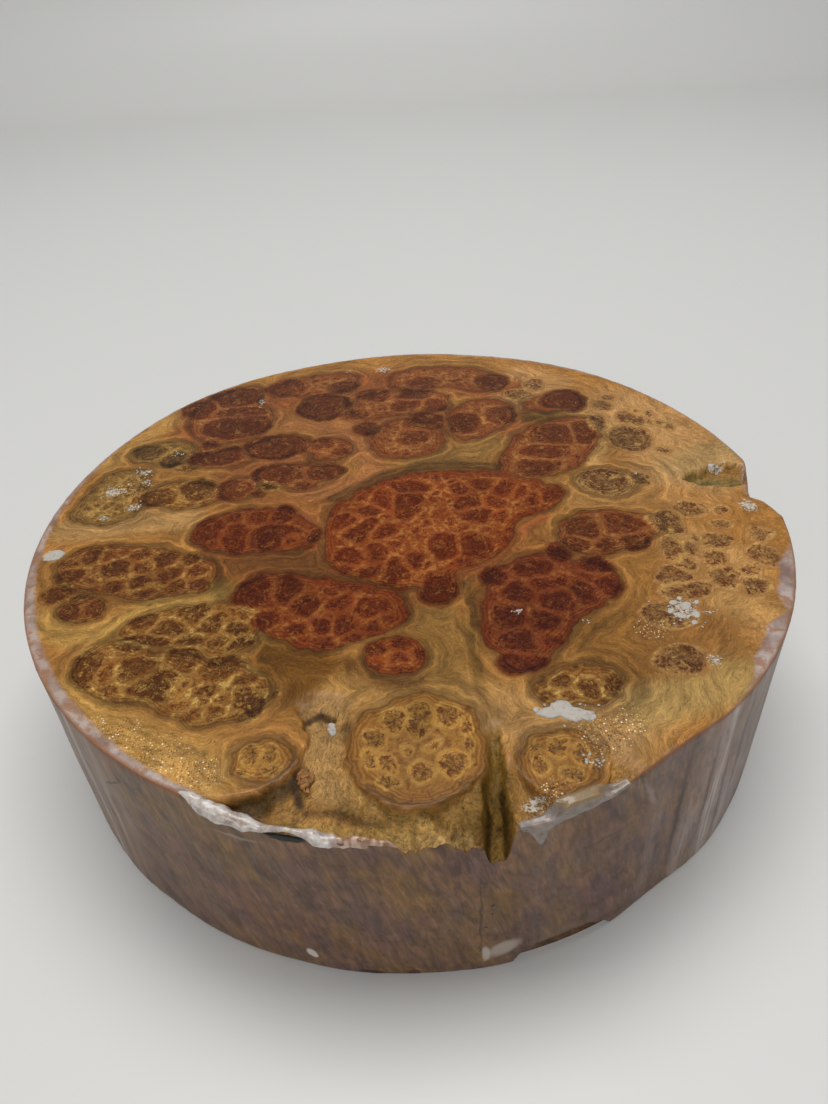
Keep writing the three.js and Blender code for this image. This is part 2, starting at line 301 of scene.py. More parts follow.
lobes = [
    ("russet", [(-82, -6), (-76, 3), (-66, 8), (-54, 9), (-44, 6), (-37, 0), (-33, -8), (-34, -16),
                (-41, -20), (-54, -20), (-66, -19), (-77, -15)]),
    ("heart", [(-30, 6), (-20, 14), (-8, 22), (5, 28), (20, 28), (35, 26), (45, 22), (55, 17), (62, 8),
               (61, 0), (55, -6), (46, -9), (38, -14), (38, -22), (33, -30), (24, -37), (16, -38),
               (17, -48), (12, -55), (6, -52), (4, -44), (-4, -44), (-14, -40), (-22, -36),
               (-30, -28), (-31, -15), (-30, -5)]),
    ("russet", [(-60, -44), (-57, -37), (-50, -32), (-40, -33), (-30, -38), (-18, -41), (-8, -44),
                (-2, -50), (-1, -58), (-6, -65), (-14, -70), (-24, -73), (-34, -72), (-42, -67),
                (-49, -61), (-56, -54)]),
    ("heart", [(-16, -79), (-13, -71), (-5, -68), (2, -71), (4, -77), (1, -83), (-6, -86), (-13, -84)]),
    ("maroon", [(22, -60), (24, -50), (28, -42), (34, -36), (42, -31), (50, -30), (58, -34),
                (66, -38), (72, -44), (70, -54), (64, -60), (56, -64), (50, -70), (46, -77),
                (40, -83), (33, -88), (27, -84), (23, -74)]),
    ("redBrown", [(54, -18), (60, -10), (70, -6), (82, -7), (93, -11), (96, -18), (88, -25),
                  (80, -31), (70, -34), (60, -32), (55, -26)]),
    ("redBrown", [(38, 24), (46, 20), (60, 19), (70, 23), (78, 33), (85, 45), (88, 58), (84, 66),
                  (74, 66), (64, 62), (54, 58), (47, 50), (44, 40), (40, 32)]),
    ("redBrown", [(55, 74), (66, 71), (78, 72), (84, 78), (83, 88), (74, 92), (62, 88), (54, 82)]),
    ("redBrown", [(22, 52), (30, 50), (40, 56), (48, 64), (52, 72), (50, 82), (42, 88), (32, 88),
                  (25, 82), (21, 70)]),
    ("redBrown", [(-14, 58), (-13, 45), (-5, 38), (6, 38), (16, 44), (18, 56), (14, 68), (3, 73),
                  (-8, 70)]),
    ("redBrown", [(-24, 80), (-22, 92), (-10, 100), (5, 102), (20, 98), (24, 90), (22, 82), (10, 78),
                  (-5, 77), (-16, 74)]),
    ("redBrown", [(-62, 106), (-55, 118), (-38, 126), (-20, 122), (-22, 110), (-30, 102), (-45, 100)]),
    ("redBrown", [(-5, 104), (-4, 118), (8, 126), (25, 124), (42, 118), (52, 108), (50, 98),
                  (38, 94), (20, 104), (6, 103)]),
    ("redBrown", [(-48, 89), (-43, 80), (-34, 78), (-25, 83), (-24, 92), (-30, 99), (-41, 99)]),
    ("redBrown", [(-98, 80), (-97, 95), (-90, 104), (-80, 113), (-70, 116), (-66, 108), (-68, 98),
                  (-62, 90), (-58, 82), (-60, 74), (-64, 66), (-72, 60), (-84, 60), (-92, 66)]),
    ("redBrown", [(-69, 54), (-62, 60), (-52, 65), (-43, 63), (-40, 56), (-43, 49), (-54, 46),
                  (-65, 48)]),
    ("redBrown", [(-42, 50), (-38, 42), (-29, 40), (-21, 45), (-20, 53), (-26, 59), (-37, 59)]),
    ("redBrown", [(-92, 48), (-84, 54), (-74, 56), (-67, 50), (-64, 44), (-72, 40), (-84, 40)]),
    ("redBrown", [(-63, 30), (-58, 38), (-50, 41), (-41, 38), (-31, 38), (-24, 33), (-28, 26),
                  (-36, 22), (-42, 18), (-48, 22), (-57, 24)]),
    ("redBrown", [(-75, 20), (-70, 32), (-62, 30), (-60, 20), (-66, 13)]),
    ("brown", [(-106, 24), (-95, 32), (-85, 30), (-76, 26), (-74, 16), (-84, 10), (-96, 12),
               (-104, 16)]),
    ("olive", [(-120, 55), (-110, 64), (-98, 66), (-90, 58), (-92, 48), (-104, 44), (-114, 48)]),
    ("olive", [(-134, 8), (-131, 25), (-126, 40), (-116, 44), (-106, 40), (-106, 26), (-104, 14),
               (-110, 4), (-122, 2)]),
    ("umber", [(-128, -20), (-122, -11), (-108, -11), (-95, -12), (-82, -17), (-71, -24),
               (-67, -33), (-70, -40), (-80, -42), (-90, -43), (-98, -44), (-104, -40),
               (-110, -37), (-120, -34), (-128, -28)]),
    ("umber", [(-122, -46), (-116, -40), (-107, -40), (-102, -46), (-106, -52), (-115, -53)]),
    ("brown", [(-97, -55), (-88, -50), (-72, -47), (-62, -46), (-52, -50), (-49, -60), (-52, -72),
               (-60, -74), (-70, -70), (-82, -68), (-95, -62)]),
    ("brown", [(-106, -75), (-103, -66), (-95, -62), (-85, -70), (-75, -72), (-65, -74), (-55, -76),
               (-46, -82), (-43, -88), (-48, -97), (-55, -102), (-68, -100), (-80, -92), (-92, -90),
               (-102, -84)]),
    ("golden", [(-53, -115), (-49, -108), (-42, -107), (-35, -110), (-33, -116), (-38, -122),
                (-47, -123)]),
    ("golden", [(-20, -112), (-17, -102), (-9, -95), (2, -93), (12, -96), (18, -104), (20, -114),
                (17, -124), (9, -131), (-2, -133), (-12, -129), (-18, -121)]),
    ("golden", [(26, -122), (28, -114), (36, -110), (45, -110), (50, -115), (49, -124), (42, -131),
                (33, -134), (28, -130)]),
    ("brown", [(35, -92), (42, -87), (54, -85), (61, -89), (62, -96), (55, -101), (42, -102),
               (36, -98)]),
    ("eye", [(66, 13), (71, 20), (80, 23), (89, 20), (94, 13), (89, 5), (80, 2), (71, 5)]),
]

# Cells: middle x, y, half width, half height and turn in degrees
cells = {
    "umber": [
        (-122, -28, 5, 4), (-124, -22, 4, 3), (-123, -37, 5, 4), (-115, -39, 3, 2.5),
        (-117, -17, 4, 5), (-110, -17, 4, 4), (-106, -25, 5, 6, 10), (-98, -17, 4, 4),
        (-96, -24, 4.5, 4), (-88, -21, 4.5, 5), (-80, -22, 4, 4), (-104, -34, 4, 4),
        (-96, -33, 4, 4), (-92, -39, 4, 3), (-86, -30, 4, 5), (-82, -37, 4, 4), (-76, -30, 4, 4),
        (-73, -36, 4, 4), (-115, -46, 4.5, 5), (-107, -46, 4, 4.5),
    ],
    "redBrown": [
        (66, -18, 8, 7), (60, -26, 5, 5), (78, -16, 9, 7), (80, -26, 7, 6), (72, -28, 5, 5),
        (-36, 89, 12, 11), (-27, 48, 5, 4), (-35, 54, 6, 5), (-55, 55, 14, 9), (-52, 32, 10, 8),
        (-33, 32, 8, 6), (-42, 23, 4.5, 3.5), (-60, 18, 3, 3), (-80, 50, 11, 7), (-85, 60, 5, 5),
        (-75, 75, 14, 10), (-75, 88, 12, 5), (-80, 104, 14, 8), (-55, 110, 10, 9),
        (-28, 108, 7, 7), (-95, 95, 8, 10), (-22, 80, 7, 5), (-15, 66, 6, 6), (-12, 98, 8, 6),
        (5, 57, 6, 7), (10, 70, 8, 8), (7, 97, 9, 6), (12, 108, 8, 6), (5, 86, 9, 5),
        (15, 85, 7, 6), (28, 65, 7, 9), (45, 72, 7, 8), (44, 104, 7, 8), (75, 82, 9, 9),
        (66, 52, 10, 8), (78, 52, 6, 9), (60, 38, 10, 7), (55, 27, 9, 6), (-70, 22, 7, 7),
    ],
    "brown": [
        (-88, -54, 6, 4), (-80, -58, 6, 5), (-72, -52, 6, 5), (-66, -58, 5, 6), (-58, -60, 5, 5),
        (-86, -64, 8, 3, -10), (-72, -64, 6, 3), (-62, -66, 4, 3), (-55, -68, 5, 3),
        (-56, -54, 5, 5), (-91, -66, 5, 2.5), (-101, -75, 5, 8, 10), (-88, -77, 7, 5, -15),
        (-95, -78, 4, 6), (-93, -84, 4, 3.5), (-79, -84, 8, 6, -10), (-71, -85, 3, 4),
        (-72, -74, 7, 5, -25), (-60, -78, 8, 5, -15), (-52, -83, 5, 4, -30), (-47, -86, 3, 3),
        (-62, -88, 4, 3), (-69, -93, 3, 3), (-57, -92, 3, 3), (-50, -93, 5, 6),
        (-60, -97, 4, 2.5), (-66, -97, 4, 2.5), (-53, -99, 3, 2), (-43, -90, 2.5, 2),
        (44, -93, 4, 3), (52, -95, 5, 4), (58, -94, 4, 4), (47, -98, 4, 2.5), (40, -98, 3, 2),
        (-100, 20, 8, 6), (-86, 24, 8, 7), (-92, 42, 5, 3), (-56, 24, 5, 4),
    ],
    "russet": [
        (-52, -44, 7, 9, 10), (-43, -42, 6, 8), (-36, -51, 5.5, 5), (-24, -51, 4, 3.8),
        (-13, -54, 7, 5, -10), (-30, -62, 4, 4), (-22, -62, 4, 5), (-13, -63, 4, 3.5),
        (-38, -63, 4, 3.5), (-28, -69, 4, 3), (-19, -68, 4, 3), (-50, -56, 6, 4, -30),
        (-8, -60, 3, 3), (-74, -6, 5, 9), (-65, -10, 5, 9, 10), (-50, -11, 9, 7),
        (-44, -14, 4, 4), (-35, -12, 2.5, 4.5), (-35, -18, 2, 2), (-56, 2, 5, 4), (-47, 3, 5, 5),
        (-66, 1, 4, 4),
    ],
    "heart": [
        (-22, -5, 6, 6), (-18, -9, 7, 7), (-9, -12, 6, 5), (-20, -26, 7, 6),
        (-13, -26, 5, 7), (-22, -32, 5, 4), (-12, -34, 6, 5), (-5, -36, 6, 8), (2, -31, 4, 6),
        (-3, -43, 2.5, 3), (0, 5, 6, 9), (-7, 8, 5, 8), (2, 17, 8, 5), (-14, 2, 5, 4),
        (25, 5, 6, 6), (33, 3, 5, 5), (28, -4, 6, 6), (34, -6, 4, 5), (40, 12, 4, 6),
        (45, 8, 4, 5), (50, 4, 4, 5), (57, 6, 4, 6), (23, 14, 5, 5), (30, 16, 6, 4),
        (15, -24, 6, 8, 15), (25, -24, 6, 8), (20, -33, 5, 4), (10, -46, 6, 8),
        (-11, -75, 3.4, 3), (-4, -72, 3.6, 2.8), (-4.6, -78, 3.6, 3), (1, -77, 2.6, 3.6),
        (-11, -81.4, 3, 2.6), (-3.6, -83, 3.4, 2.2),
    ],
    "maroon": [
        (30, -43, 5, 5), (44, -40, 7, 6), (46, -46, 7, 6), (36, -52, 6, 7),
        (48, -56, 7, 6), (33, -62, 7, 7), (42, -64, 7, 6), (34, -74, 7, 6), (42, -74, 5, 4),
        (33, -83, 7, 5), (58, -52, 5, 7), (66, -50, 5, 6), (64, -39, 6, 5), (53, -31, 4, 5),
        (60, -44, 4, 4),
    ],
    "eye": [
        (96, -17, 6, 7), (94, -32, 3.5, 7), (96, -41, 3, 4), (90, -47, 6, 5), (92, -54, 7, 5),
        (84, -66, 8, 6), (81, -86, 8, 5.5), (110, -29, 5, 4.5), (106, -39, 3.5, 4),
        (107, -49, 6, 6), (116, -47, 4, 4), (115, -54, 6, 4.5), (124, -38, 5, 6),
        (127, -26, 4, 4), (107, -9, 6, 5), (116, -19, 4, 3), (117, -10, 3, 3),
        (103, -27, 2.5, 3), (100, -32, 2.5, 4), (80, 13, 10, 8), (93, 14, 4, 4),
        (86, 61, 4, 6), (97, 45, 8, 9), (109, 34, 3, 3), (92, 75, 4, 4), (96, 82, 4, 4),
        (102, 62, 5, 7), (108, 57, 2, 3), (113, 56, 2.5, 2.5), (117, 53, 2.5, 3),
        (105, 66, 3, 4), (110, 64, 2, 3), (55, 90, 6, 5), (64, 100, 5, 5),
    ],
    "goldenEye": [
        (-46, -113, 3, 3.6, 20), (-40.5, -113, 2.6, 3.2, -10), (-47, -118.5, 2.6, 2),
        (-39.5, -118.5, 2.4, 2), (33, -122, 3, 3.6), (39.5, -116, 3, 3.8), (45.4, -119, 2.4, 3.2),
        (32, -115.4, 2, 2.2), (41, -125.4, 2.8, 2.4), (-6, -102.6, 3.4, 4.6, 12),
        (1.6, -103.4, 3.4, 5.4), (9, -103, 3.4, 4.8, -8), (14, -106.6, 2, 3.2),
        (-11, -109.6, 2.6, 4, 32), (-13, -116.4, 2.4, 3.6, 24), (-8.6, -118, 2.2, 4, 30),
        (-8, -125, 3, 2.4), (1.4, -121, 2.9, 3.2), (9.8, -119.8, 4, 4.2), (14.6, -113, 1.8, 2.6),
        (-2, -113.6, 2, 1.8), (4.6, -113, 2, 1.6),
    ],
    "olive": [(-110, 56, 7, 6), (-100, 50, 6, 6)],
}

groundColour = "#a87438"
# Ground patches: colour, strength, half width, path
groundPatches = [
    ("#9a602e", 0.9, 26, [(-50, 0), (-10, 5), (20, -10), (40, -45)]),
    ("#7a4a22", 0.9, 12, [(-68, -27), (-50, -28), (-30, -30), (-12, -46), (0, -52)]),
    ("#945028", 0.85, 14, [(-90, 75), (-60, 95), (-30, 112), (20, 112), (50, 95)]),
    ("#94582e", 0.85, 13, [(-60, 45), (-70, 30), (-45, 40), (0, 82), (30, 60), (55, 65)]),
    ("#ae703e", 0.9, 7, [(-62, 85), (-55, 75), (-40, 72), (-27, 68), (-20, 60), (-17, 50),
                         (-15, 40), (-12, 30), (-25, 18), (-40, 17)]),
    ("#aa6636", 0.95, 5, [(12, 20), (12, 4), (8, -12), (1, -16)]),
    ("#a66030", 0.95, 3.5, [(5, -18), (10, -30), (16, -40)]),
    ("#a05c2e", 0.9, 3, [(16, -40), (30, -33), (38, -20), (52, -8)]),
    ("#a8643a", 0.9, 4, [(-40, 1), (-36, -8), (-42, -4)]),
    ("#986e38", 1.0, 8, [(15, 36), (28, 42), (38, 48)]),
    ("#926a36", 0.8, 5, [(5, 35), (18, 33), (30, 36)]),
    ("#54381a", 0.75, 3.2, [(-28, 12), (-8, 27), (8, 32), (22, 32), (36, 29), (48, 25)]),
    ("#64481e", 0.85, 6, [(58, 68), (66, 68), (72, 69)]),
    ("#c09058", 0.9, 22, [(100, 70), (115, 40), (112, 15)]),
    ("#c29456", 0.8, 5, [(78, 28), (84, 42), (92, 55)]),
    ("#b07e44", 0.9, 8, [(62, 6), (70, 1), (90, 0), (110, -2)]),
    ("#c08e56", 0.8, 9, [(50, 84), (57, 82), (62, 85), (75, 100), (60, 112)]),
    ("#b88c54", 0.9, 8, [(-132, 1), (-115, 1), (-100, 4), (-86, 4)]),
    ("#b68848", 0.8, 6, [(-128, 46), (-118, 66), (-108, 84)]),
    ("#b88c48", 0.9, 6, [(-126, -50), (-112, -60), (-100, -58), (-86, -46), (-68, -43)]),
    ("#6c5424", 0.6, 5, [(-66, -38), (-50, -66), (-46, -68)]),
    ("#6c4414", 0.9, 10, [(-42, -76), (-30, -80), (-32, -90)]),
    ("#ba8c48", 0.95, 12, [(-108, -88), (-92, -102), (-75, -112), (-60, -118)]),
    ("#b48648", 0.9, 9, [(-20, -92), (0, -92), (14, -92), (22, -98)]),
    ("#6c4620", 0.85, 4.5, [(-17, -80), (-10, -87), (0, -88), (5, -83)]),
    ("#926a34", 0.85, 9, [(8, -62), (12, -72), (10, -84)]),
    ("#62461e", 0.7, 2.2, [(19.5, -44), (20, -60), (19, -78), (20, -98)]),
    ("#b88a50", 0.95, 12, [(26, -104), (45, -106), (58, -112), (62, -104)]),
    ("#845a28", 0.85, 12, [(52, -68), (62, -76), (66, -88), (72, -72)]),
    ("#ba8c52", 0.85, 12, [(100, -30), (112, -42), (104, -60), (112, -72)]),
    ("#a6864e", 0.9, 9, [(66, -104), (80, -100), (92, -98), (98, -90)]),
    ("#8a5e2e", 0.8, 10, [(82, -76), (95, -72), (100, -80)]),
    ("#ae8a56", 0.9, 10, [(112, 20), (120, 25), (135, 30)]),
]

# Bark colours on the natural edge: colour, strength, half width, path; some dark paths are painted shade at
# the feet of the lobes
barkTonesAndPaintedShade = [
    ("#a0743a", 1.0, 30, [(-50, -125), (0, -138), (50, -125)]),
    ("#80602a", 0.8, 5, [(-20, -128), (-4, -135), (12, -134)]),
    ("#aa824c", 0.85, 7, [(-26, -98), (-26, -114), (-24, -122)]),
    # painted shade along the foot of the centre lobe's left edge
    ("#624420", 0.75, 2.2, [(-20, -104), (-21, -114), (-15, -124)]),
    # painted shadow under the left lobe's lower lip
    ("#4a3414", 0.95, 3.2, [(-50, -130), (-42, -127), (-33, -121)]),
    # painted shade along the step at the left lobe's right edge
    ("#52361a", 0.9, 2.2, [(-33, -103), (-34, -110), (-33, -118)]),
    # painted shadow at the splinter's left side
    ("#3a2610", 0.9, 1.5, [(-34, -118), (-33.4, -123), (-32, -128)]),
    ("#4a3214", 0.9, 1.1, [(-32, -101), (-28, -98.5), (-24, -100)]),
    ("#ac8044", 0.7, 3, [(-22, -112), (-20, -122), (-12, -131)]),
    # painted shadow under the centre lobe's front edge
    ("#5c3e1a", 0.75, 1.4, [(-30, -130), (-22, -131), (-14, -135), (-6, -137)]),
    ("#b8904e", 0.8, 1.6, [(-16, -127), (-8, -132), (2, -136)]),
    ("#7a5c28", 0.95, 3, [(22.5, -100), (21.5, -115), (20.5, -122)]),
    ("#72541e", 0.95, 5.5, [(20.5, -122), (20, -128), (19.5, -140)]),
    ("#3e2c12", 0.8, 0.8, [(18.4, -130), (17.4, -136), (17, -141)]),
    ("#3e2c12", 0.8, 0.8, [(21.8, -126), (22.4, -133), (22, -141)]),
    ("#a5803f", 0.8, 2.5, [(-38, -134), (-20, -137), (-4, -138)]),
    ("#b08c54", 0.8, 2, [(-6, -139), (4, -139), (13, -138)]),
    ("#7f6a3a", 1.0, 8, [(113, 11), (124, 10), (134, 8)]),
    ("#5d4a20", 0.9, 2.5, [(110, 12), (113, 12)]),
]

# Milky wax film on the top's rim: angle, width in mm, strength
rimFilm = [(-180, 4, 0.8), (-165, 4.8, 0.85), (-150, 5, 0.85), (-136, 5, 0.9), (-124, 4, 0.95),
           (-116, 3.2, 1), (-110, 0, 1), (-107, -3, 0), (-70, -3, 0), (-66, 1, 0.5), (-60, 1.4, 0.6),
           (-50, 1.2, 0.5), (-44, 2.5, 0.8), (-40, 6, 1), (-33, 6.5, 1), (-29, 3, 0.7), (-26, 6.5, 1),
           (-19, 6.5, 1), (-14, 2, 0.5), (-6, 1, 0.4), (3, 2.4, 0.7), (20, 2, 0.5), (45, 2.4, 0.55),
           (62, 3.4, 0.7), (80, 3, 0.6), (95, 2.2, 0.6), (130, 2.4, 0.6), (150, 2.4, 0.6),
           (165, 3.2, 0.75), (180, 4, 0.8)]

# Crumbly white wax trodden into the fibre: x, y, half width, half height, strength
powderPatches = [(-109, 40, 5, 4, 0.8), (-107, 32, 4, 3, 0.7), (-119, 26, 6, 5, 0.9),
                 (-108, 14, 5, 4, 0.8), (-118, 7, 4, 3, 0.7), (-99, 53, 4, 3, 0.6), (-66, 97, 3, 7, 0.6),
                 (-8, 125, 6, 5, 0.8), (-23, 121, 4, 3, 0.5), (35, -60, 2.5, 2, 0.9),
                 (88, -64, 7, 8, 0.85), (126, 20, 6, 1.6, 1.0), (43, -104, 10, 5, 0.55),
                 (91, -87, 3, 5, 0.8), (129, -9, 5, 6, 0.9), (30, -132, 6, 3, 0.8),
                 (48, -122, 6, 3, 0.6), (57, -67, 2, 2, 0.7), (96, -66, 3, 1.6, 0.7),
                 (-26, 125, 5, 3, 0.5), (64, 100, 9, 4, 0.45)]

# Wet-looking, finely wrinkled wax with painted glints and painted shade among its grains: x, y, radius
wrinkledWaxAndPaintedGlints = [(-85, -104, 8), (-72, -112, 9), (-60, -118, 7), (52, -113, 8), (60, -109, 6),
            (35, -131, 5), (76, -72, 6), (-112, 30, 8), (-95, -100, 6)]

farAway = 60.0  # mm, for places that no outline is near


def nearPath(x, y, path):
    # distance in mm from each point to an open path
    best = np.full(len(x), 1e3)
    for (ax, ay), (bx, by) in zip(path, path[1:]):
        dx, dy = bx - ax, by - ay
        share = np.clip(((x - ax) * dx + (y - ay) * dy) / (dx * dx + dy * dy), 0, 1)
        best = np.minimum(best, np.hypot(x - ax - share * dx, y - ay - share * dy))
    return best


def rounded(outline, times=2):
    # corners cut once or more, which leaves a smoother closed outline
    points = np.array(outline, float)
    for _ in range(times):
        after = np.roll(points, -1, axis=0)
        points = np.stack([points * 0.75 + after * 0.25, points * 0.25 + after * 0.75], 1).reshape(-1, 2)
    return points


def signedDistance(x, y, outline):
    # mm outside a closed outline, negative inside, worked out only near it
    points = rounded(outline)
    margin = 30
    low, high = points.min(0) - margin, points.max(0) + margin
    near = np.flatnonzero((x > low[0]) & (x < high[0]) & (y > low[1]) & (y < high[1]))
    result = np.full(len(x), farAway)
    px, py = x[near], y[near]
    path = [tuple(p) for p in points] + [tuple(points[0])]
    distance = nearPath(px, py, path)
    inside = np.zeros(len(near), bool)
    for (ax, ay), (bx, by) in zip(path, path[1:]):
        if ay != by:
            crosses = (ay > py) != (by > py)
            inside ^= crosses & (px < (bx - ax) * (py - ay) / (by - ay) + ax)
    result[near] = np.where(inside, -distance, distance)
    return result


def blended(x, y, start, patches, sharp=0.35):
    # colours laid over each other along paths, in linear light
    colour = np.tile(toLinear(start), (len(x), 1))
    for hexColour, strength, width, path in patches:
        cover = strength * (1 - smoothStep(nearPath(x, y, path), width * sharp, width * 1.4))
        colour += cover[:, None] * (np.array(toLinear(hexColour)) - colour)
    return colour


def figureAttributes(x, y, barky):
    flat = np.stack([x, y], 1)
    warpX = x + 1.3 * softNoise(flat, 9, 21) + 0.6 * softNoise(flat, 3.2, 22)
    warpY = y + 1.3 * softNoise(flat, 9, 23) + 0.6 * softNoise(flat, 3.2, 24)
    flow = np.full(len(x), farAway)
    weight = np.zeros(len(x))
    tone = np.zeros((len(x), 4))
    line = np.zeros((len(x), 4))
    net = np.zeros(len(x))
    pores = np.zeros(len(x))
    for style, outline in lobes:
        distance = signedDistance(warpX, warpY, outline)
        pull = np.exp(-np.clip(distance, -8, 40) / 2.5)
        cellTone, lineTone, netShare, poreShare = styles[style]
        tone += pull[:, None] * toLinear(cellTone)
        line += pull[:, None] * toLinear(lineTone)
        net += pull * netShare
        pores += pull * poreShare
        weight += pull
        flow = np.minimum(flow, distance)
    tone /= weight[:, None]
    line /= weight[:, None]
    net /= weight
    pores /= weight
    nearest = np.full(len(x), 9.0)
    second = np.full(len(x), 9.0)
    size = np.ones(len(x))
    cellTones = tone.copy()
    cellLines = line.copy()
    cellNet = net.copy()
    cellPores = pores.copy()
    offset = np.zeros((len(x), 3))
    random = np.random.default_rng(7)
    for style, group in cells.items():
        cellTone, lineTone = (np.array(toLinear(c)) for c in styles[style][:2])
        for cx, cy, rx, ry, *turn in group:
            angle = math.radians(turn[0]) if turn else 0
            reach = 2.2 * max(rx, ry) + 4
            near = np.flatnonzero((np.abs(warpX - cx) < reach) & (np.abs(warpY - cy) < reach))
            dx, dy = warpX[near] - cx, warpY[near] - cy
            along = (dx * math.cos(angle) + dy * math.sin(angle)) / rx
            across = (dy * math.cos(angle) - dx * math.sin(angle)) / ry
            away = np.hypot(along, across)
            closer = away < nearest[near]
            second[near] = np.where(closer, nearest[near], np.minimum(second[near], away))
            nearest[near] = np.where(closer, away, nearest[near])
            taken = near[closer]
            size[taken] = (rx + ry) / 2
            offset[taken, 0] = x[taken] - cx
            offset[taken, 1] = y[taken] - cy
            cellTones[taken] = cellTone * random.uniform(0.78, 1.12)
            cellLines[taken] = lineTone
            cellNet[taken], cellPores[taken] = styles[style][2:]
    cellEdge = np.minimum((second - nearest) * size / 2, (1.22 - nearest) * size)
    held = 1 - smoothStep(nearest, 1.15, 1.4)
    tone += held[:, None] * (cellTones - tone)
    line += held[:, None] * (cellLines - line)
    net += held * (cellNet - net)
    pores += held * (cellPores - pores)
    ground = blended(x, y, groundColour, groundPatches)
    bark = blended(x, y, barkTonesAndPaintedShade[0][0], barkTonesAndPaintedShade)
    ground += barky[:, None] * (bark - ground)
    degrees = np.degrees(np.arctan2(y, x))
    inward = rimRadius(degrees, blank["thickness"]) - np.hypot(x, y)
    angles, widths, strengths = (np.array(column, float) for column in zip(*rimFilm))
    width = np.interp(degrees, angles, widths)
    filmHold = np.interp(degrees, angles, strengths)
    powder = np.zeros(len(x))
    for cx, cy, rx, ry, strength in powderPatches:
        away = np.hypot((x - cx) / rx, (y - cy) / ry)
        powder = np.maximum(powder, strength * (1 - smoothStep(away, 0.2, 1.25)))
    # wrinkled wax: raises the relief and bump, and places the painted glints and painted shade of its grains
    sparkle = np.zeros(len(x))
    for cx, cy, reach in wrinkledWaxAndPaintedGlints:
        sparkle = np.maximum(sparkle, 1 - smoothStep(np.hypot(x - cx, y - cy), reach * 0.4, reach * 1.3))
    shade = 1 + 0.1 * softNoise(flat, 13, 41) + 0.07 * softNoise(flat, 5, 42)
    return {
        "flow": flow, "cellEdge": np.clip(cellEdge, -4, 6), "held": held, "offset": offset,
        "inward": np.clip(inward, 0, 12), "filmIn": np.clip(width - inward, -4, 8),
        "filmHold": filmHold, "powder": powder, "sparkle": sparkle, "barky": barky,
        "shade": shade, "net": net, "pores": pores, "cellTone": tone, "lineTone": line, "groundTone": ground,
    }


# Side: colours by angle in degrees and height in mm, each with its spread
sideColour = "#735740"
sidePatches = [  # angle, height, half angle, half height, colour, strength
    (-142, 42, 6, 40, "#8a725c", 0.8), (-125, 62, 9, 12, "#7a633e", 0.8),
    (-130, 40, 5, 12, "#785e42", 0.7), (-120, 38, 8, 9, "#684a40", 0.8),
    (-112, 52, 7, 14, "#634b33", 0.8), (-108, 25, 8, 12, "#6e4631", 0.8),
    (-100, 30, 4.5, 9, "#604942", 0.8), (-100, 15, 6, 9, "#6d4432", 0.7),
    (-97, 60, 5, 10, "#614229", 0.7), (-92, 50, 3.5, 22, "#775528", 0.85),
    (-130, 14, 10, 9, "#6d523d", 0.7), (-87, 55, 2.5, 20, "#75502a", 0.8),
    (-80, 58, 2.5, 9, "#8a6131", 0.85), (-75, 62, 4, 8, "#865f34", 0.85),
    (-68, 62, 5, 10, "#644525", 0.75), (-80, 38, 6, 14, "#715127", 0.85),
    (-72, 36, 5, 8, "#6a4c28", 0.75), (-70, 24, 8, 10, "#614334", 0.8),
    (-62, 40, 6, 18, "#6e524a", 0.85), (-64, 70, 4, 6, "#826c56", 0.7),
    (-58.5, 45, 2, 34, "#6c5452", 0.85), (-47, 42, 7, 42, "#9a8882", 0.95),
    (-34, 40, 5, 42, "#8c7a72", 0.85), (-22, 40, 7, 42, "#6f5037", 0.8),
    (-98, 71, 3, 3.4, "#8f6a38", 0.9), (-91, 71, 4.5, 4, "#8c6834", 0.95),
    (-85.5, 71, 2, 4, "#7f5e2c", 0.9),
    (-85, 12, 4, 10, "#5d452e", 0.7), (-68, 12, 8, 5, "#7e6552", 0.8),
    (0, 40, 14, 42, "#764f2d", 0.8), (30, 40, 20, 42, "#724c2c", 0.8),
    (80, 40, 30, 42, "#6a4424", 0.7), (150, 40, 30, 42, "#6c472d", 0.7),
]
milkStreaks = [(-138.3, 1.6, 0.8), (-134, 1.1, 0.5), (-146, 3, 0.5), (-131, 1.2, 0.3), (-75, 3, 0.15),
               (-53, 1.7, 0.9), (-48.5, 1.9, 1.0), (-44.6, 1.1, 0.8), (-40.5, 2.1, 1.0),
               (-33, 1.8, 0.8), (-60.5, 1.2, 0.3), (60, 4, 0.3), (110, 3, 0.3),
               (175, 4, 0.4)]  # angle, spread, strength


def sideAttributes(degrees, height):
    unrolled = np.stack([roundTheRim(degrees), height], 1)
    colour = np.tile(toLinear(sideColour), (len(degrees), 1))
    for at, middle, spread, tall, hexColour, strength in sidePatches:
        away = turnFrom(at, degrees)
        cover = strength * np.exp(-((away / spread) ** 2) - ((height - middle) / tall) ** 2)
        colour += cover[:, None] * (np.array(toLinear(hexColour)) - colour)
    milk = np.zeros(len(degrees))
    for at, spread, strength in milkStreaks:
        away = turnFrom(at, degrees)
        milk += strength * np.exp(-((away / spread) ** 2))
    milk *= 0.75 + 0.5 * softNoise(unrolled, (7, 60), 51)
    return colour, np.clip(milk, 0, 1)


def store(mesh, layers):
    # vertex attributes: numbers, vectors or colours, by the width of each array
    kinds = {1: ("FLOAT", "value"), 3: ("FLOAT_VECTOR", "vector"), 4: ("FLOAT_COLOR", "color")}
    for name, values in layers.items():
        kind, field = kinds[values.shape[1] if values.ndim == 2 else 1]
        layer = mesh.attributes.new(name, kind, "POINT")
        layer.data.foreach_set(field, values.astype(np.float32).ravel())


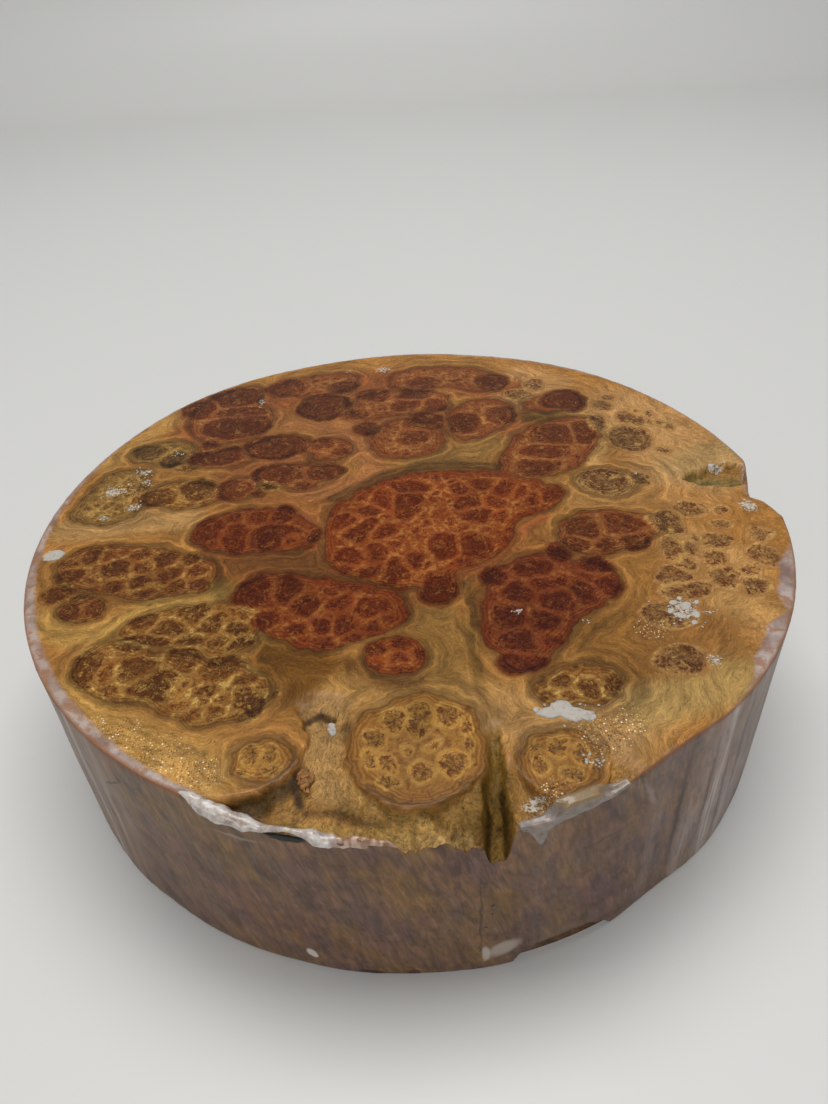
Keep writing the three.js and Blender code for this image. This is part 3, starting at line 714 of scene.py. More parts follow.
def burlBlank():
    work = blankTemplate()
    template = np.array([vert.co for vert in work.verts])
    onTop = template[:, 2] > blank["brim"]
    unit = np.hypot(template[:, 0], template[:, 1])
    degrees = np.degrees(np.arctan2(template[:, 1], template[:, 0]))
    away = np.stack([np.cos(np.radians(degrees)), np.sin(np.radians(degrees))], 1)
    thickness, edgeBreak = blank["thickness"], blank["edgeBreak"]
    rim = unit > blank["brim"]
    radius = rimRadius(degrees, np.full(len(degrees), float(thickness)))
    flat = away * (unit * radius)[:, None]
    flat[onTop & rim] -= away[onTop & rim] * edgeBreak * 0.3
    drop, barky, tuckX, tuckY = edgeDrop(flat[:, 0], flat[:, 1])
    rimDrop = edgeDrop(*(away * (radius - edgeBreak)[:, None]).T)[0]
    jag = 0.9 * softNoise(flat, 2.2, 61) + 0.5 * softNoise(flat, 5, 68)
    within = -signedDistance(flat[:, 0], flat[:, 1], barkPocket["hollow"]) + jag
    slope = 1.2 + 4.5 * smoothStep(13 - flat[:, 1], 0, 8)
    hollow = barkPocket["hollowDepth"] * smoothStep(within / slope, 0, 1)
    barky = np.maximum(barky, smoothStep(hollow, 0.2, 1.2))
    figure = figureAttributes(flat[:, 0], flat[:, 1], barky)
    grain = np.stack([radius * unit, degrees * 2.4], 1)
    fibres = softNoise(grain, (naturalEdge["fibreLength"], naturalEdge["fibreWidth"]), 62)
    fibres += 0.6 * softNoise(grain, (4, 0.7), 63)
    lumps = 0.75 * softNoise(flat, 4.2, 69) + 0.35 * softNoise(flat, 1.9, 70)
    relief = barky * (naturalEdge["fibreRelief"] * fibres + lumps * smoothStep(drop, 0.5, 2))
    relief += 0.4 * (hollow > 0.2) * softNoise(flat, 2, 64)
    relief += 0.35 * smoothStep(figure["filmIn"], -0.5, 1.2) * (0.7 + 0.3 * softNoise(flat, 3, 65))
    relief += 0.04 * softNoise(flat, 6, 66) + 0.09 * figure["sparkle"] * softNoise(flat, 1.3, 67)
    height = thickness - drop - hollow + relief
    height -= np.where(rim, edgeBreak * 0.3, 0)
    flat[:, 0] += tuckX
    flat[:, 1] += tuckY
    side = ~onTop
    share = template[:, 2]
    lifted = share * (thickness - rimDrop)
    sideRadius = rimRadius(degrees, lifted)
    around = np.stack([roundTheRim(degrees), lifted], 1)
    sideRadius += 0.25 * softNoise(around, (22, 30), 71) + 0.08 * softNoise(around, (3, 14), 72)
    chip = underChip
    arc = roundTheRim(turnFrom(chip["at"], degrees))
    scoop = 1 - (arc / chip["halfLength"]) ** 2 - (lifted / chip["height"]) ** 2
    scoop *= 1 + 0.25 * softNoise(around, 4, 73)
    sideRadius -= chip["inset"] * np.sqrt(np.maximum(scoop, 0))
    corner = edgeBreak * 0.3 * (share < 1e-6) * rim
    sideRadius = np.minimum(sideRadius, cadBox[1].x / mm + 3)
    sideFlat = away * (np.where(rim, sideRadius - corner, unit * blank["radius"]))[:, None]
    flat[side] = sideFlat[side]
    height[side] = lifted[side] + np.where(rim[side] & (share[side] < 1e-6), edgeBreak * 0.3, 0)
    for vert, (x, y), z in zip(work.verts, flat, height):
        vert.co = (x * mm, y * mm, z * mm)
    for face in work.faces:
        face.smooth = True
        face.material_index = 0 if all(onTop[vert.index] for vert in face.verts) else 1
    bmesh.ops.recalc_face_normals(work, faces=work.faces[:])
    mesh = bpy.data.meshes.new("burlBlank")
    work.to_mesh(mesh)
    work.free()
    sideTone, milk = sideAttributes(degrees, height)
    figure.update({"sideTone": sideTone, "milk": milk})
    store(mesh, figure)
    return mesh


# Materials

def add(tree, kind, inputs=None, **settings):
    # adds a node, a shader's kind given without its prefix; an input's value is a number, a node,
    # or a node with the name of its output
    node = tree.nodes.new(kind if "Node" in kind else "ShaderNode" + kind)
    for name, value in settings.items():
        setattr(node, name, value)
    for key, value in (inputs or {}).items():
        socket = node.inputs[key] if isinstance(key, int) else next(
            s for s in node.inputs if s.name == key and s.enabled)
        if isinstance(value, bpy.types.Node):
            value = next(s for s in value.outputs if s.enabled)
        elif isinstance(value, tuple) and isinstance(value[0], bpy.types.Node):
            value = value[0].outputs[value[1]]
        if isinstance(value, bpy.types.NodeSocket):
            tree.links.new(value, socket)
        else:
            socket.default_value = value
    return node


def emptyMaterial(name):
    material = bpy.data.materials.new(name)
    material.use_nodes = True
    material.node_tree.nodes.clear()
    return material, material.node_tree


def inMillimetres(tree):
    # the place on the object in mm, whole and split by axis
    place = add(tree, "TexCoord")
    inMm = add(tree, "VectorMath", {0: (place, "Object"), "Scale": 1000.0}, operation="SCALE")
    return inMm, add(tree, "SeparateXYZ", {0: inMm})


def figuredFace():
    # Mallee burl, bandsawn, planed and brushed with clear paraffin. Red-brown cells in a golden
    # network of curly fibre, under a glossy film that turns milky where it is thick.
    material, tree = emptyMaterial("waxedBurlFace")
    inMm, split = inMillimetres(tree)
    value = {}
    for name in ("flow", "cellEdge", "held", "inward", "filmIn", "filmHold", "powder", "sparkle",
                 "barky", "shade", "net", "pores"):
        value[name] = (add(tree, "Attribute", attribute_name=name), "Fac")
    for name in ("cellTone", "lineTone", "groundTone"):
        value[name] = (add(tree, "Attribute", attribute_name=name), "Color")
    offset = (add(tree, "Attribute", attribute_name="offset"), "Vector")

    # curled coordinates: the fibre wanders by 1 to 2 mm
    swirl = add(tree, "TexNoise", {"Vector": inMm, "Scale": 0.16, "Detail": 2.0})
    swirlBy = add(tree, "VectorMath",
                  {0: (swirl, "Color"), 1: (5.0, 5.0, 5.0), 2: (-2.5, -2.5, -2.5)},
                  operation="MULTIPLY_ADD")
    curled = add(tree, "VectorMath", {0: inMm, 1: swirlBy}, operation="ADD")
    tangle = add(tree, "TexNoise", {"Vector": inMm, "Scale": 0.6, "Detail": 2.5})
    tangleBy = add(tree, "VectorMath",
                   {0: (tangle, "Color"), 1: (3.0, 3.0, 3.0), 2: (-1.5, -1.5, -1.5)},
                   operation="MULTIPLY_ADD")
    tangled = add(tree, "VectorMath", {0: curled, 1: tangleBy}, operation="ADD")

    # mm from the outline that the fibre follows: the cell's inside one, else the lobe's
    wavyFlow = add(tree, "Math", {0: (swirl, "Fac"), 1: 4.0, 2: value["flow"]},
                   operation="MULTIPLY_ADD")
    follow = add(tree, "Mix", {"Factor": value["held"], "A": wavyFlow, "B": value["cellEdge"]})

    # nested growth lines about 1.5 mm apart, broad bands, and fine broken fibre 0.5 mm apart
    curl = add(tree, "TexNoise", {"Vector": curled, "Scale": 0.2, "Detail": 2.0})
    curlReach = add(tree, "MapRange", {"Value": value["held"], "To Min": 34.0, "To Max": 11.0})
    curlPhase = add(tree, "Math", {0: (curl, "Fac"), 1: curlReach}, operation="MULTIPLY")
    phase = add(tree, "Math", {0: follow, 1: 4.0, 2: curlPhase}, operation="MULTIPLY_ADD")
    wave = add(tree, "Math", {0: phase}, operation="SINE")
    rings = add(tree, "MapRange", {"Value": wave, "From Min": -1.0, "From Max": 1.0,
                                             "To Min": 0.32, "To Max": 0.68})
    laid = add(tree, "CombineXYZ", {"X": follow, "Y": (split, "X"), "Z": (split, "Y")})
    bandPlace = add(tree, "VectorMath", {0: laid, 1: (0.42, 0.07, 0.07)}, operation="MULTIPLY")
    bands = add(tree, "TexNoise", {"Vector": bandPlace, "Scale": 1.0, "Detail": 5.0, "Roughness": 0.62})
    strokePlace = add(tree, "VectorMath", {0: laid, 1: (1.9, 0.42, 0.42)}, operation="MULTIPLY")
    strokes = add(tree, "TexNoise", {"Vector": strokePlace, "Scale": 1.0, "Detail": 4.0,
                                     "Roughness": 0.78, "Distortion": 0.9})
    ringMost = add(tree, "MapRange", {"Value": value["held"], "To Min": 0.45, "To Max": 0.85})
    ringShare = add(tree, "MapRange",
                    {"Value": (tangle, "Fac"), "From Min": 0.38, "From Max": 0.6, "To Min": 0.05,
                     "To Max": ringMost})
    fibre = add(tree, "Mix", {"Factor": ringShare, "A": (strokes, "Fac"), "B": rings})
    # within 5 mm of a lobe's border the rings follow that border
    borderIn = add(tree, "MapRange",
                   {"Value": wavyFlow, "From Min": -4.0, "From Max": -0.5},
                   interpolation_type="SMOOTHSTEP")
    borderOut = add(tree, "MapRange",
                    {"Value": wavyFlow, "From Min": 2.5, "From Max": 6.0, "To Min": 1.0, "To Max": 0.15},
                    interpolation_type="SMOOTHSTEP")
    borderZone = add(tree, "Math", {0: borderIn, 1: borderOut}, operation="MULTIPLY")
    borderPhase = add(tree, "Math", {0: (tangle, "Fac"), 1: 5.0}, operation="MULTIPLY")
    borderRun = add(tree, "Math", {0: wavyFlow, 1: 4.6, 2: borderPhase},
                    operation="MULTIPLY_ADD")
    borderWave = add(tree, "Math", {0: borderRun}, operation="SINE")
    borderRings = add(tree, "MapRange",
                      {"Value": borderWave, "From Min": -1.0, "From Max": 1.0, "To Min": 0.28,
                       "To Max": 0.72})
    borderShare = add(tree, "Math", {0: borderZone, 1: 0.7}, operation="MULTIPLY")
    nested = add(tree, "Mix", {"Factor": borderShare, "A": fibre, "B": borderRings})
    fibreShade = add(tree, "MapRange",
                     {"Value": nested, "From Min": 0.3, "From Max": 0.7, "To Min": 0.64,
                      "To Max": 1.28})

    # cells drawn as listed where one is held, else a scatter 5 mm apart
    fill = add(tree, "TexVoronoi", {"Vector": tangled, "Scale": 0.2},
               feature="DISTANCE_TO_EDGE")
    fillEdge = add(tree, "Math", {0: fill, 1: 5.0}, operation="MULTIPLY")
    fillSpot = add(tree, "TexVoronoi", {"Vector": tangled, "Scale": 0.2})
    fillAway = add(tree, "VectorMath", {0: tangled, 1: (fillSpot, "Position")},
                   operation="SUBTRACT")
    # the middle of a large cell, more than 2.4 mm inside its border, holds a finer mesh of its own
    innerShare = add(tree, "MapRange",
                     {"Value": value["cellEdge"], "From Min": 2.4, "From Max": 3.6, "To Max": 0.5})
    innerEdge = add(tree, "Math", {0: fillEdge, 1: value["cellEdge"]}, operation="MINIMUM")
    heldEdge = add(tree, "Mix",
                   {"Factor": innerShare, "A": value["cellEdge"], "B": innerEdge})
    edge = add(tree, "Mix", {"Factor": value["held"], "A": fillEdge, "B": heldEdge})
    away = add(tree, "Mix", {"Factor": value["held"], "A": fillAway, "B": offset},
               data_type="VECTOR")
    ragged = add(tree, "Math", {0: (tangle, "Fac"), 1: 3.2, 2: -1.6},
                 operation="MULTIPLY_ADD")
    raggedEdge = add(tree, "Math", {0: edge, 1: ragged}, operation="ADD")

    # golden network: a thin crisp line where cells meet, and a soft paler rim inside each cell
    netFade = add(tree, "MapRange",
                  {"Value": (swirl, "Fac"), "From Min": 0.34, "From Max": 0.56, "To Min": 0.35,
                   "To Max": 1.0})
    netClear = add(tree, "MapRange", {"Value": borderIn, "To Min": 1.0, "To Max": 0.35})
    netOpen = add(tree, "Math", {0: netClear, 1: value["held"]}, operation="MAXIMUM")
    netHere = add(tree, "Math", {0: netFade, 1: netOpen}, operation="MULTIPLY")
    netShare = add(tree, "Math", {0: netHere, 1: value["net"]}, operation="MULTIPLY")
    netLine = add(tree, "MapRange",
                  {"Value": raggedEdge, "From Min": -0.1, "From Max": 0.45, "To Min": 0.95,
                   "To Max": 0.0}, interpolation_type="SMOOTHSTEP")
    netHalo = add(tree, "MapRange",
                  {"Value": raggedEdge, "From Min": 0.2, "From Max": 1.7, "To Min": 0.3,
                   "To Max": 0.0}, interpolation_type="SMOOTHSTEP")
    netBoth = add(tree, "Math", {0: netLine, 1: netHalo}, operation="MAXIMUM")
    network = add(tree, "Math", {0: netBoth, 1: netShare}, operation="MULTIPLY")

    # strands that run out from the pin knot in the middle of each cell, dark dashes and light lines
    knot = add(tree, "VectorMath", {0: inMm, 1: away}, operation="SUBTRACT")
    knotShift = add(tree, "VectorMath", {0: knot, "Scale": 0.37}, operation="SCALE")
    twist = add(tree, "Math", {0: (tangle, "Fac"), 1: 1.8}, operation="MULTIPLY")
    turned = add(tree, "VectorRotate", {"Vector": away, "Angle": twist},
                 rotation_type="Z_AXIS")
    toward = add(tree, "VectorMath", {0: turned}, operation="NORMALIZE")
    strandPlace = add(tree, "VectorMath",
                      {0: toward, 1: (2.7, 2.7, 2.7), 2: knotShift}, operation="MULTIPLY_ADD")
    reach = add(tree, "VectorMath", {0: away}, operation="LENGTH")
    reachSlow = add(tree, "Math", {0: (reach, "Value"), 1: 0.28}, operation="MULTIPLY")
    strandRise = add(tree, "CombineXYZ", {"Z": reachSlow})
    strandAt = add(tree, "VectorMath", {0: strandPlace, 1: strandRise}, operation="ADD")
    strands = add(tree, "TexNoise",
                  {"Vector": strandAt, "Scale": 1.0, "Detail": 2.5, "Roughness": 0.6,
                   "Distortion": 0.7})
    clearOfLine = add(tree, "MapRange",
                      {"Value": raggedEdge, "From Min": 0.3, "From Max": 1.2},
                      interpolation_type="SMOOTHSTEP")
    dash = add(tree, "MapRange",
               {"Value": (strands, "Fac"), "From Min": 0.5, "From Max": 0.6},
               interpolation_type="SMOOTHSTEP")
    dashClear = add(tree, "Math", {0: dash, 1: clearOfLine}, operation="MULTIPLY")
    dashShare = add(tree, "Math", {0: dashClear, 1: value["pores"]}, operation="MULTIPLY")
    light = add(tree, "MapRange",
                {"Value": (strands, "Fac"), "From Min": 0.36, "From Max": 0.46, "To Min": 0.5,
                 "To Max": 0.0}, interpolation_type="SMOOTHSTEP")
    lightShare = add(tree, "Math", {0: light, 1: netShare}, operation="MULTIPLY")

    # cell colour: darker towards the middle, and a lace of dark pores 1.6 mm apart
    core = add(tree, "MapRange",
               {"Value": raggedEdge, "From Min": 0.4, "From Max": 2.8, "To Min": 1.16, "To Max": 0.64},
               interpolation_type="SMOOTHSTEP")
    lace = add(tree, "TexVoronoi", {"Vector": tangled, "Scale": 0.62},
               feature="DISTANCE_TO_EDGE")
    laceShade = add(tree, "MapRange",
                    {"Value": lace, "From Min": 0.06, "From Max": 0.3, "To Min": 1.3, "To Max": 0.72},
                    interpolation_type="SMOOTHSTEP")
    laced = add(tree, "Mix", {"Factor": clearOfLine, "A": 1.0, "B": laceShade})
    coreFull = add(tree, "Math", {0: core, 1: laced}, operation="MULTIPLY")
    celled = add(tree, "MapRange", {"Value": value["net"], "From Max": 0.6})
    coreShade = add(tree, "Mix", {"Factor": celled, "A": 1.0, "B": coreFull})
    cellShade = add(tree, "Math", {0: coreShade, 1: fibreShade}, operation="MULTIPLY")
    cellBase = add(tree, "VectorMath", {0: value["cellTone"], "Scale": cellShade},
                   operation="SCALE")
    lineLit = add(tree, "VectorMath", {0: value["lineTone"], "Scale": fibreShade},
                  operation="SCALE")
    stranded = add(tree, "Mix", {"Factor": lightShare, "A": cellBase, "B": lineLit},
                   data_type="RGBA")
    dashTone = add(tree, "VectorMath", {0: value["cellTone"], 1: (0.38, 0.25, 0.25)},
                   operation="MULTIPLY")
    dashed = add(tree, "Mix", {"Factor": dashShare, "A": stranded, "B": dashTone},
                 data_type="RGBA")
    figured = add(tree, "Mix", {"Factor": network, "A": dashed, "B": lineLit},
                  data_type="RGBA")

    # ground between the lobes, and bark whose fibre runs out to the rim
    bandShade = add(tree, "MapRange",
                    {"Value": (bands, "Fac"), "From Min": 0.34, "From Max": 0.66, "To Min": 0.62,
                     "To Max": 1.2})
    groundFibre = add(tree, "MapRange",
                      {"Value": (strokes, "Fac"), "From Min": 0.34, "From Max": 0.66, "To Min": 0.54,
                       "To Max": 1.4})
    groundLines = add(tree, "Mix", {"Factor": 0.38, "A": groundFibre, "B": fibreShade})
    sawnShade = add(tree, "Math", {0: bandShade, 1: groundLines}, operation="MULTIPLY")
    turn = add(tree, "Math", {0: (split, "Y"), 1: (split, "X")}, operation="ARCTAN2")
    outward = add(tree, "VectorMath", {0: inMm}, operation="LENGTH")
    barkAt = add(tree, "CombineXYZ", {"X": turn, "Y": (outward, "Value"), "Z": (split, "Z")})
    barkLaid = add(tree, "VectorMath", {0: barkAt, 1: (blank["radius"], 0.2, 0.3)}, operation="MULTIPLY")
    barkPlace = add(tree, "VectorMath", {0: barkLaid, 1: tangleBy}, operation="ADD")
    barkFibre = add(tree, "TexNoise",
                    {"Vector": barkPlace, "Scale": 0.6, "Detail": 6.0, "Roughness": 0.7,
                     "Distortion": 2.0})
    barkBlotch = add(tree, "MapRange",
                     {"Value": (swirl, "Fac"), "From Min": 0.36, "From Max": 0.62, "To Min": 0.8,
                      "To Max": 1.12})
    # half of the bark's strands curl round the lobes that they grew about
    barkStrands = add(tree, "Mix",
                      {"Factor": 0.5, "A": (barkFibre, "Fac"), "B": (strokes, "Fac")})
    barkStreak = add(tree, "MapRange",
                     {"Value": barkStrands, "From Min": 0.39, "From Max": 0.61, "To Min": 0.3,
                      "To Max": 1.4})
    barkShade = add(tree, "Math", {0: barkStreak, 1: barkBlotch}, operation="MULTIPLY")
    groundShade = add(tree, "Mix",
                      {"Factor": value["barky"], "A": sawnShade, "B": barkShade})
    groundLit = add(tree, "VectorMath", {0: value["groundTone"], "Scale": groundShade},
                    operation="SCALE")
    lobeShare = add(tree, "MapRange",
                    {"Value": wavyFlow, "From Min": 1.2, "From Max": 3.0, "To Min": 1.0, "To Max": 0.0},
                    interpolation_type="SMOOTHSTEP")
    figureShare = add(tree, "Math", {0: lobeShare, 1: value["held"]}, operation="MAXIMUM")
    sawnShare = add(tree, "Math", {0: 1.0, 1: value["barky"]}, operation="SUBTRACT")
    figureSawn = add(tree, "Math", {0: figureShare, 1: sawnShare}, operation="MULTIPLY")
    whole = add(tree, "Mix", {"Factor": figureSawn, "A": groundLit, "B": figured},
                data_type="RGBA")

    # a dark line round each lobe, a light one outside it, then dusk that fades into the ground
    border = add(tree, "ValToRGB")
    border.color_ramp.interpolation = "EASE"
    stops = [(0.0, 1.0), (0.3, 0.95), (0.42, 0.5), (0.5, 0.62), (0.56, 0.98), (0.66, 0.74), (0.95, 1.0)]
    while len(border.color_ramp.elements) < len(stops):
        border.color_ramp.elements.new(0.5)
    for element, (at, grey) in zip(border.color_ramp.elements, stops):
        element.position = at
        element.color = (grey, grey, grey, 1)
    borderAt = add(tree, "MapRange",
                   {"Value": wavyFlow, "From Min": -6.0, "From Max": 14.0})
    tree.links.new(borderAt.outputs[0], border.inputs[0])
    borderShade = add(tree, "Mix",
                      {"Factor": value["barky"], "A": (border, "Color"), "B": (1.0, 1.0, 1.0, 1.0)},
                      data_type="RGBA")
    allShade = add(tree, "Math", {0: borderShade, 1: value["shade"]}, operation="MULTIPLY")
    shaded = add(tree, "VectorMath", {0: whole, "Scale": allShade}, operation="SCALE")

    # wax grains 0.7 mm apart with painted light: some get a painted white glint, some a painted golden
    # sheen, some painted shade as if cast by the next grain
    paintedGlintGrains = add(tree, "TexVoronoi", {"Vector": inMm, "Scale": 1.4})
    paintedGlintPick = add(tree, "SeparateColor", {0: (paintedGlintGrains, "Color")})
    paintedGlintNear = add(tree, "MapRange",
                    {"Value": (paintedGlintGrains, "Distance"), "From Min": 0.2, "From Max": 0.5, "To Min": 0.85,
                     "To Max": 0.0}, interpolation_type="SMOOTHSTEP")
    paintedGlintShare = add(tree, "Math", {0: paintedGlintNear, 1: value["sparkle"]}, operation="MULTIPLY")
    withPaintedGlints = shaded
    for colour, low, high in (("#4a2f14", 0.5, 0.42), ("#dcae62", 0.6, 0.66), ("#fff4dc", 0.9, 0.93)):
        paintedGlintKind = add(tree, "MapRange",
                        {"Value": (paintedGlintPick, "Red"), "From Min": low, "From Max": high})
        paintedGlintCover = add(tree, "Math", {0: paintedGlintShare, 1: paintedGlintKind}, operation="MULTIPLY")
        withPaintedGlints = add(tree, "Mix",
                       {"Factor": paintedGlintCover, "A": withPaintedGlints, "B": toLinear(colour)}, data_type="RGBA")

    # crumbly white wax, then the milky film on the rim with its brown stains
    crumb = add(tree, "TexNoise",
                {"Vector": inMm, "Scale": 0.75, "Detail": 3.0, "Roughness": 0.7})
    crumbBy = add(tree, "Math", {0: (crumb, "Fac"), 1: 2.4, 2: value["powder"]},
                  operation="MULTIPLY_ADD")
    crumbCover = add(tree, "MapRange",
                     {"Value": crumbBy, "From Min": 1.82, "From Max": 2.1, "To Max": 0.9},
                     interpolation_type="SMOOTHSTEP")
    crumbled = add(tree, "Mix",
                   {"Factor": crumbCover, "A": withPaintedGlints, "B": toLinear("#c3bcb0")}, data_type="RGBA")
    filmCloud = add(tree, "TexNoise", {"Vector": inMm, "Scale": 0.2, "Detail": 2.0})
    filmRagged = add(tree, "Math", {0: (filmCloud, "Fac"), 1: 2.6, 2: value["filmIn"]},
                     operation="MULTIPLY_ADD")
    filmFull = add(tree, "MapRange",
                   {"Value": filmRagged, "From Min": 1.3, "From Max": 3.2},
                   interpolation_type="SMOOTHSTEP")
    filmCover = add(tree, "Math", {0: filmFull, 1: value["filmHold"]}, operation="MULTIPLY")
    filmVeil = add(tree, "TexNoise", {"Vector": inMm, "Scale": 0.11, "Detail": 3.0})
    filmMix = add(tree, "MapRange",
                  {"Value": (filmVeil, "Fac"), "From Min": 0.38, "From Max": 0.62})
    filmTint = add(tree, "Mix",
                   {"Factor": filmMix, "A": toLinear("#7e675e"), "B": toLinear("#b2a29a")},
                   data_type="RGBA")
    stain = add(tree, "TexNoise",
                {"Vector": curled, "Scale": 0.2, "Detail": 4.0, "Roughness": 0.6})
    stainShare = add(tree, "MapRange",
                     {"Value": (stain, "Fac"), "From Min": 0.48, "From Max": 0.62, "To Max": 0.75},
                     interpolation_type="SMOOTHSTEP")
    edgeAt = add(tree, "Math", {0: (filmCloud, "Fac"), 1: 2.2, 2: value["inward"]},
                 operation="MULTIPLY_ADD")
    edgeStain = add(tree, "MapRange",
                    {"Value": edgeAt, "From Min": 1.3, "From Max": 2.7, "To Min": 0.85, "To Max": 0.0},
                    interpolation_type="SMOOTHSTEP")
    anyStain = add(tree, "Math", {0: stainShare, 1: edgeStain}, operation="MAXIMUM")
    stained = add(tree, "Mix",
                  {"Factor": anyStain, "A": filmTint, "B": toLinear("#946445")}, data_type="RGBA")
    filmed = add(tree, "Mix", {"Factor": filmCover, "A": crumbled, "B": stained},
                 data_type="RGBA")

    # relief: fibre, dashes and wrinkled wax
    wrinkle = add(tree, "TexNoise",
                  {"Vector": inMm, "Scale": 1.1, "Detail": 3.0, "Roughness": 0.6})
    wrinkleBy = add(tree, "Math", {0: value["sparkle"], 1: 5.0, 2: 0.6},
                    operation="MULTIPLY_ADD")
    barkRise = add(tree, "Math", {0: (barkFibre, "Fac"), 1: 5.0}, operation="MULTIPLY")
    fibreRise = add(tree, "Mix", {"Factor": value["barky"], "A": fibre, "B": barkRise})
    wrinkled = add(tree, "Math", {0: (wrinkle, "Fac"), 1: wrinkleBy, 2: fibreRise},
                   operation="MULTIPLY_ADD")
    sunkDash = add(tree, "Math", {0: dashShare, 1: -0.6, 2: wrinkled},
                   operation="MULTIPLY_ADD")
    bump = add(tree, "Bump", {"Strength": 0.4, "Distance": 0.00012, "Height": sunkDash})
    sawnRough = add(tree, "MapRange",
                    {"Value": (strokes, "Fac"), "From Min": 0.2, "From Max": 0.8, "To Min": 0.2,
                     "To Max": 0.34})
    roughness = add(tree, "Mix", {"Factor": value["barky"], "A": sawnRough, "B": 0.6})
    coat = add(tree, "Math", {0: filmCover, 1: 0.6, 2: 0.09}, operation="MULTIPLY_ADD")
    surface = add(tree, "BsdfPrincipled",
                  {"Base Color": filmed, "Roughness": roughness, "IOR": 1.4,
                   "Specular IOR Level": 0.2, "Coat Weight": coat, "Coat Roughness": 0.06,
                   "Coat IOR": 1.44, "Normal": bump, "Coat Normal": bump})
    add(tree, "OutputMaterial", {"Surface": surface})
    return material


# Marks on the side: angle, height, half width and half height in mm, turn, colour, strength, softness
sideMarks = [
    (-81, 10.5, 6.5, 3.6, 28, "#b3a698", 0.75, 0.5), (-83.2, 9, 1.6, 4.5, 0, "#c4b8ab", 0.7, 0.4),
    (-105, 8, 1.9, 2.4, 20, "#cfc6bc", 0.85, 0.3), (-97.5, 1.2, 4.2, 1.7, 0, "#40170e", 0.95, 0.3),
    (-92.3, 1.4, 2.4, 1.5, 0, "#4a2114", 0.9, 0.3), (-88.6, 69, 2.6, 4.5, 0, "#41312a", 0.55, 0.8),
    (-82.4, 36.3, 0.45, 0.6, 0, "#120c08", 0.9, 0.3), (-82.4, 32, 0.35, 0.5, 0, "#120c08", 0.8, 0.3),
    (-83, 25, 0.45, 0.4, 0, "#120c08", 0.8, 0.3), (-83.8, 32, 0.5, 27, 0, "#1d130c", 0.55, 0.8),
    (-130.3, 60, 8.5, 0.55, 40, "#2c2119", 0.75, 0.6), (-128.4, 65, 1.6, 0.9, 10, "#2c2119", 0.6, 0.6),
    (-104.6, 70.8, 6.2, 2.2, 3, "#0b0a0a", 1.0, 0.2), (-111, 64.8, 9, 0.9, 3, "#9d8f80", 0.5, 0.7),
    (-69, 53, 10, 0.9, 8, "#3c2c1c", 0.5, 0.8), (-73, 60, 1.2, 9, -14, "#4f3a20", 0.5, 0.8),
    (-71, 61, 1.0, 9, 12, "#4a3620", 0.5, 0.8), (-67.5, 62, 1.2, 8, 30, "#4a3620", 0.5, 0.8),
    (-62.5, 62, 1.3, 10, 24, "#a3948f", 0.5, 0.9), (-56, 40, 1.9, 36, 0, "#33231f", 0.85, 0.9),
    (-50.6, 40, 1.4, 34, 1, "#483632", 0.75, 0.9), (-46.4, 30, 1.2, 30, 3, "#4c3a35", 0.7, 0.9),
    (-43.5, 44, 1.1, 28, -2, "#4c3a35", 0.65, 0.9), (-36, 40, 1.5, 34, 2, "#503d35", 0.65, 0.9),
    (-27, 40, 1.1, 36, -1, "#4f3c33", 0.5, 0.9), (-137, 42, 1.6, 34, 0, "#5a4c45", 0.5, 0.9),
    (-143, 42, 1.4, 34, 2, "#51433d", 0.5, 0.9), (150, 40, 1.5, 34, 1, "#453228", 0.5, 0.9),
    (118, 36, 9, 1.0, 24, "#3a2a1e", 0.5, 0.8), (64, 44, 1.2, 26, -8, "#3c2b1d", 0.5, 0.8),
    (20, 38, 1.0, 30, 5, "#3c2b1d", 0.5, 0.8), (-160, 20, 7, 4, 10, "#8f5c3c", 0.4, 0.9),
]


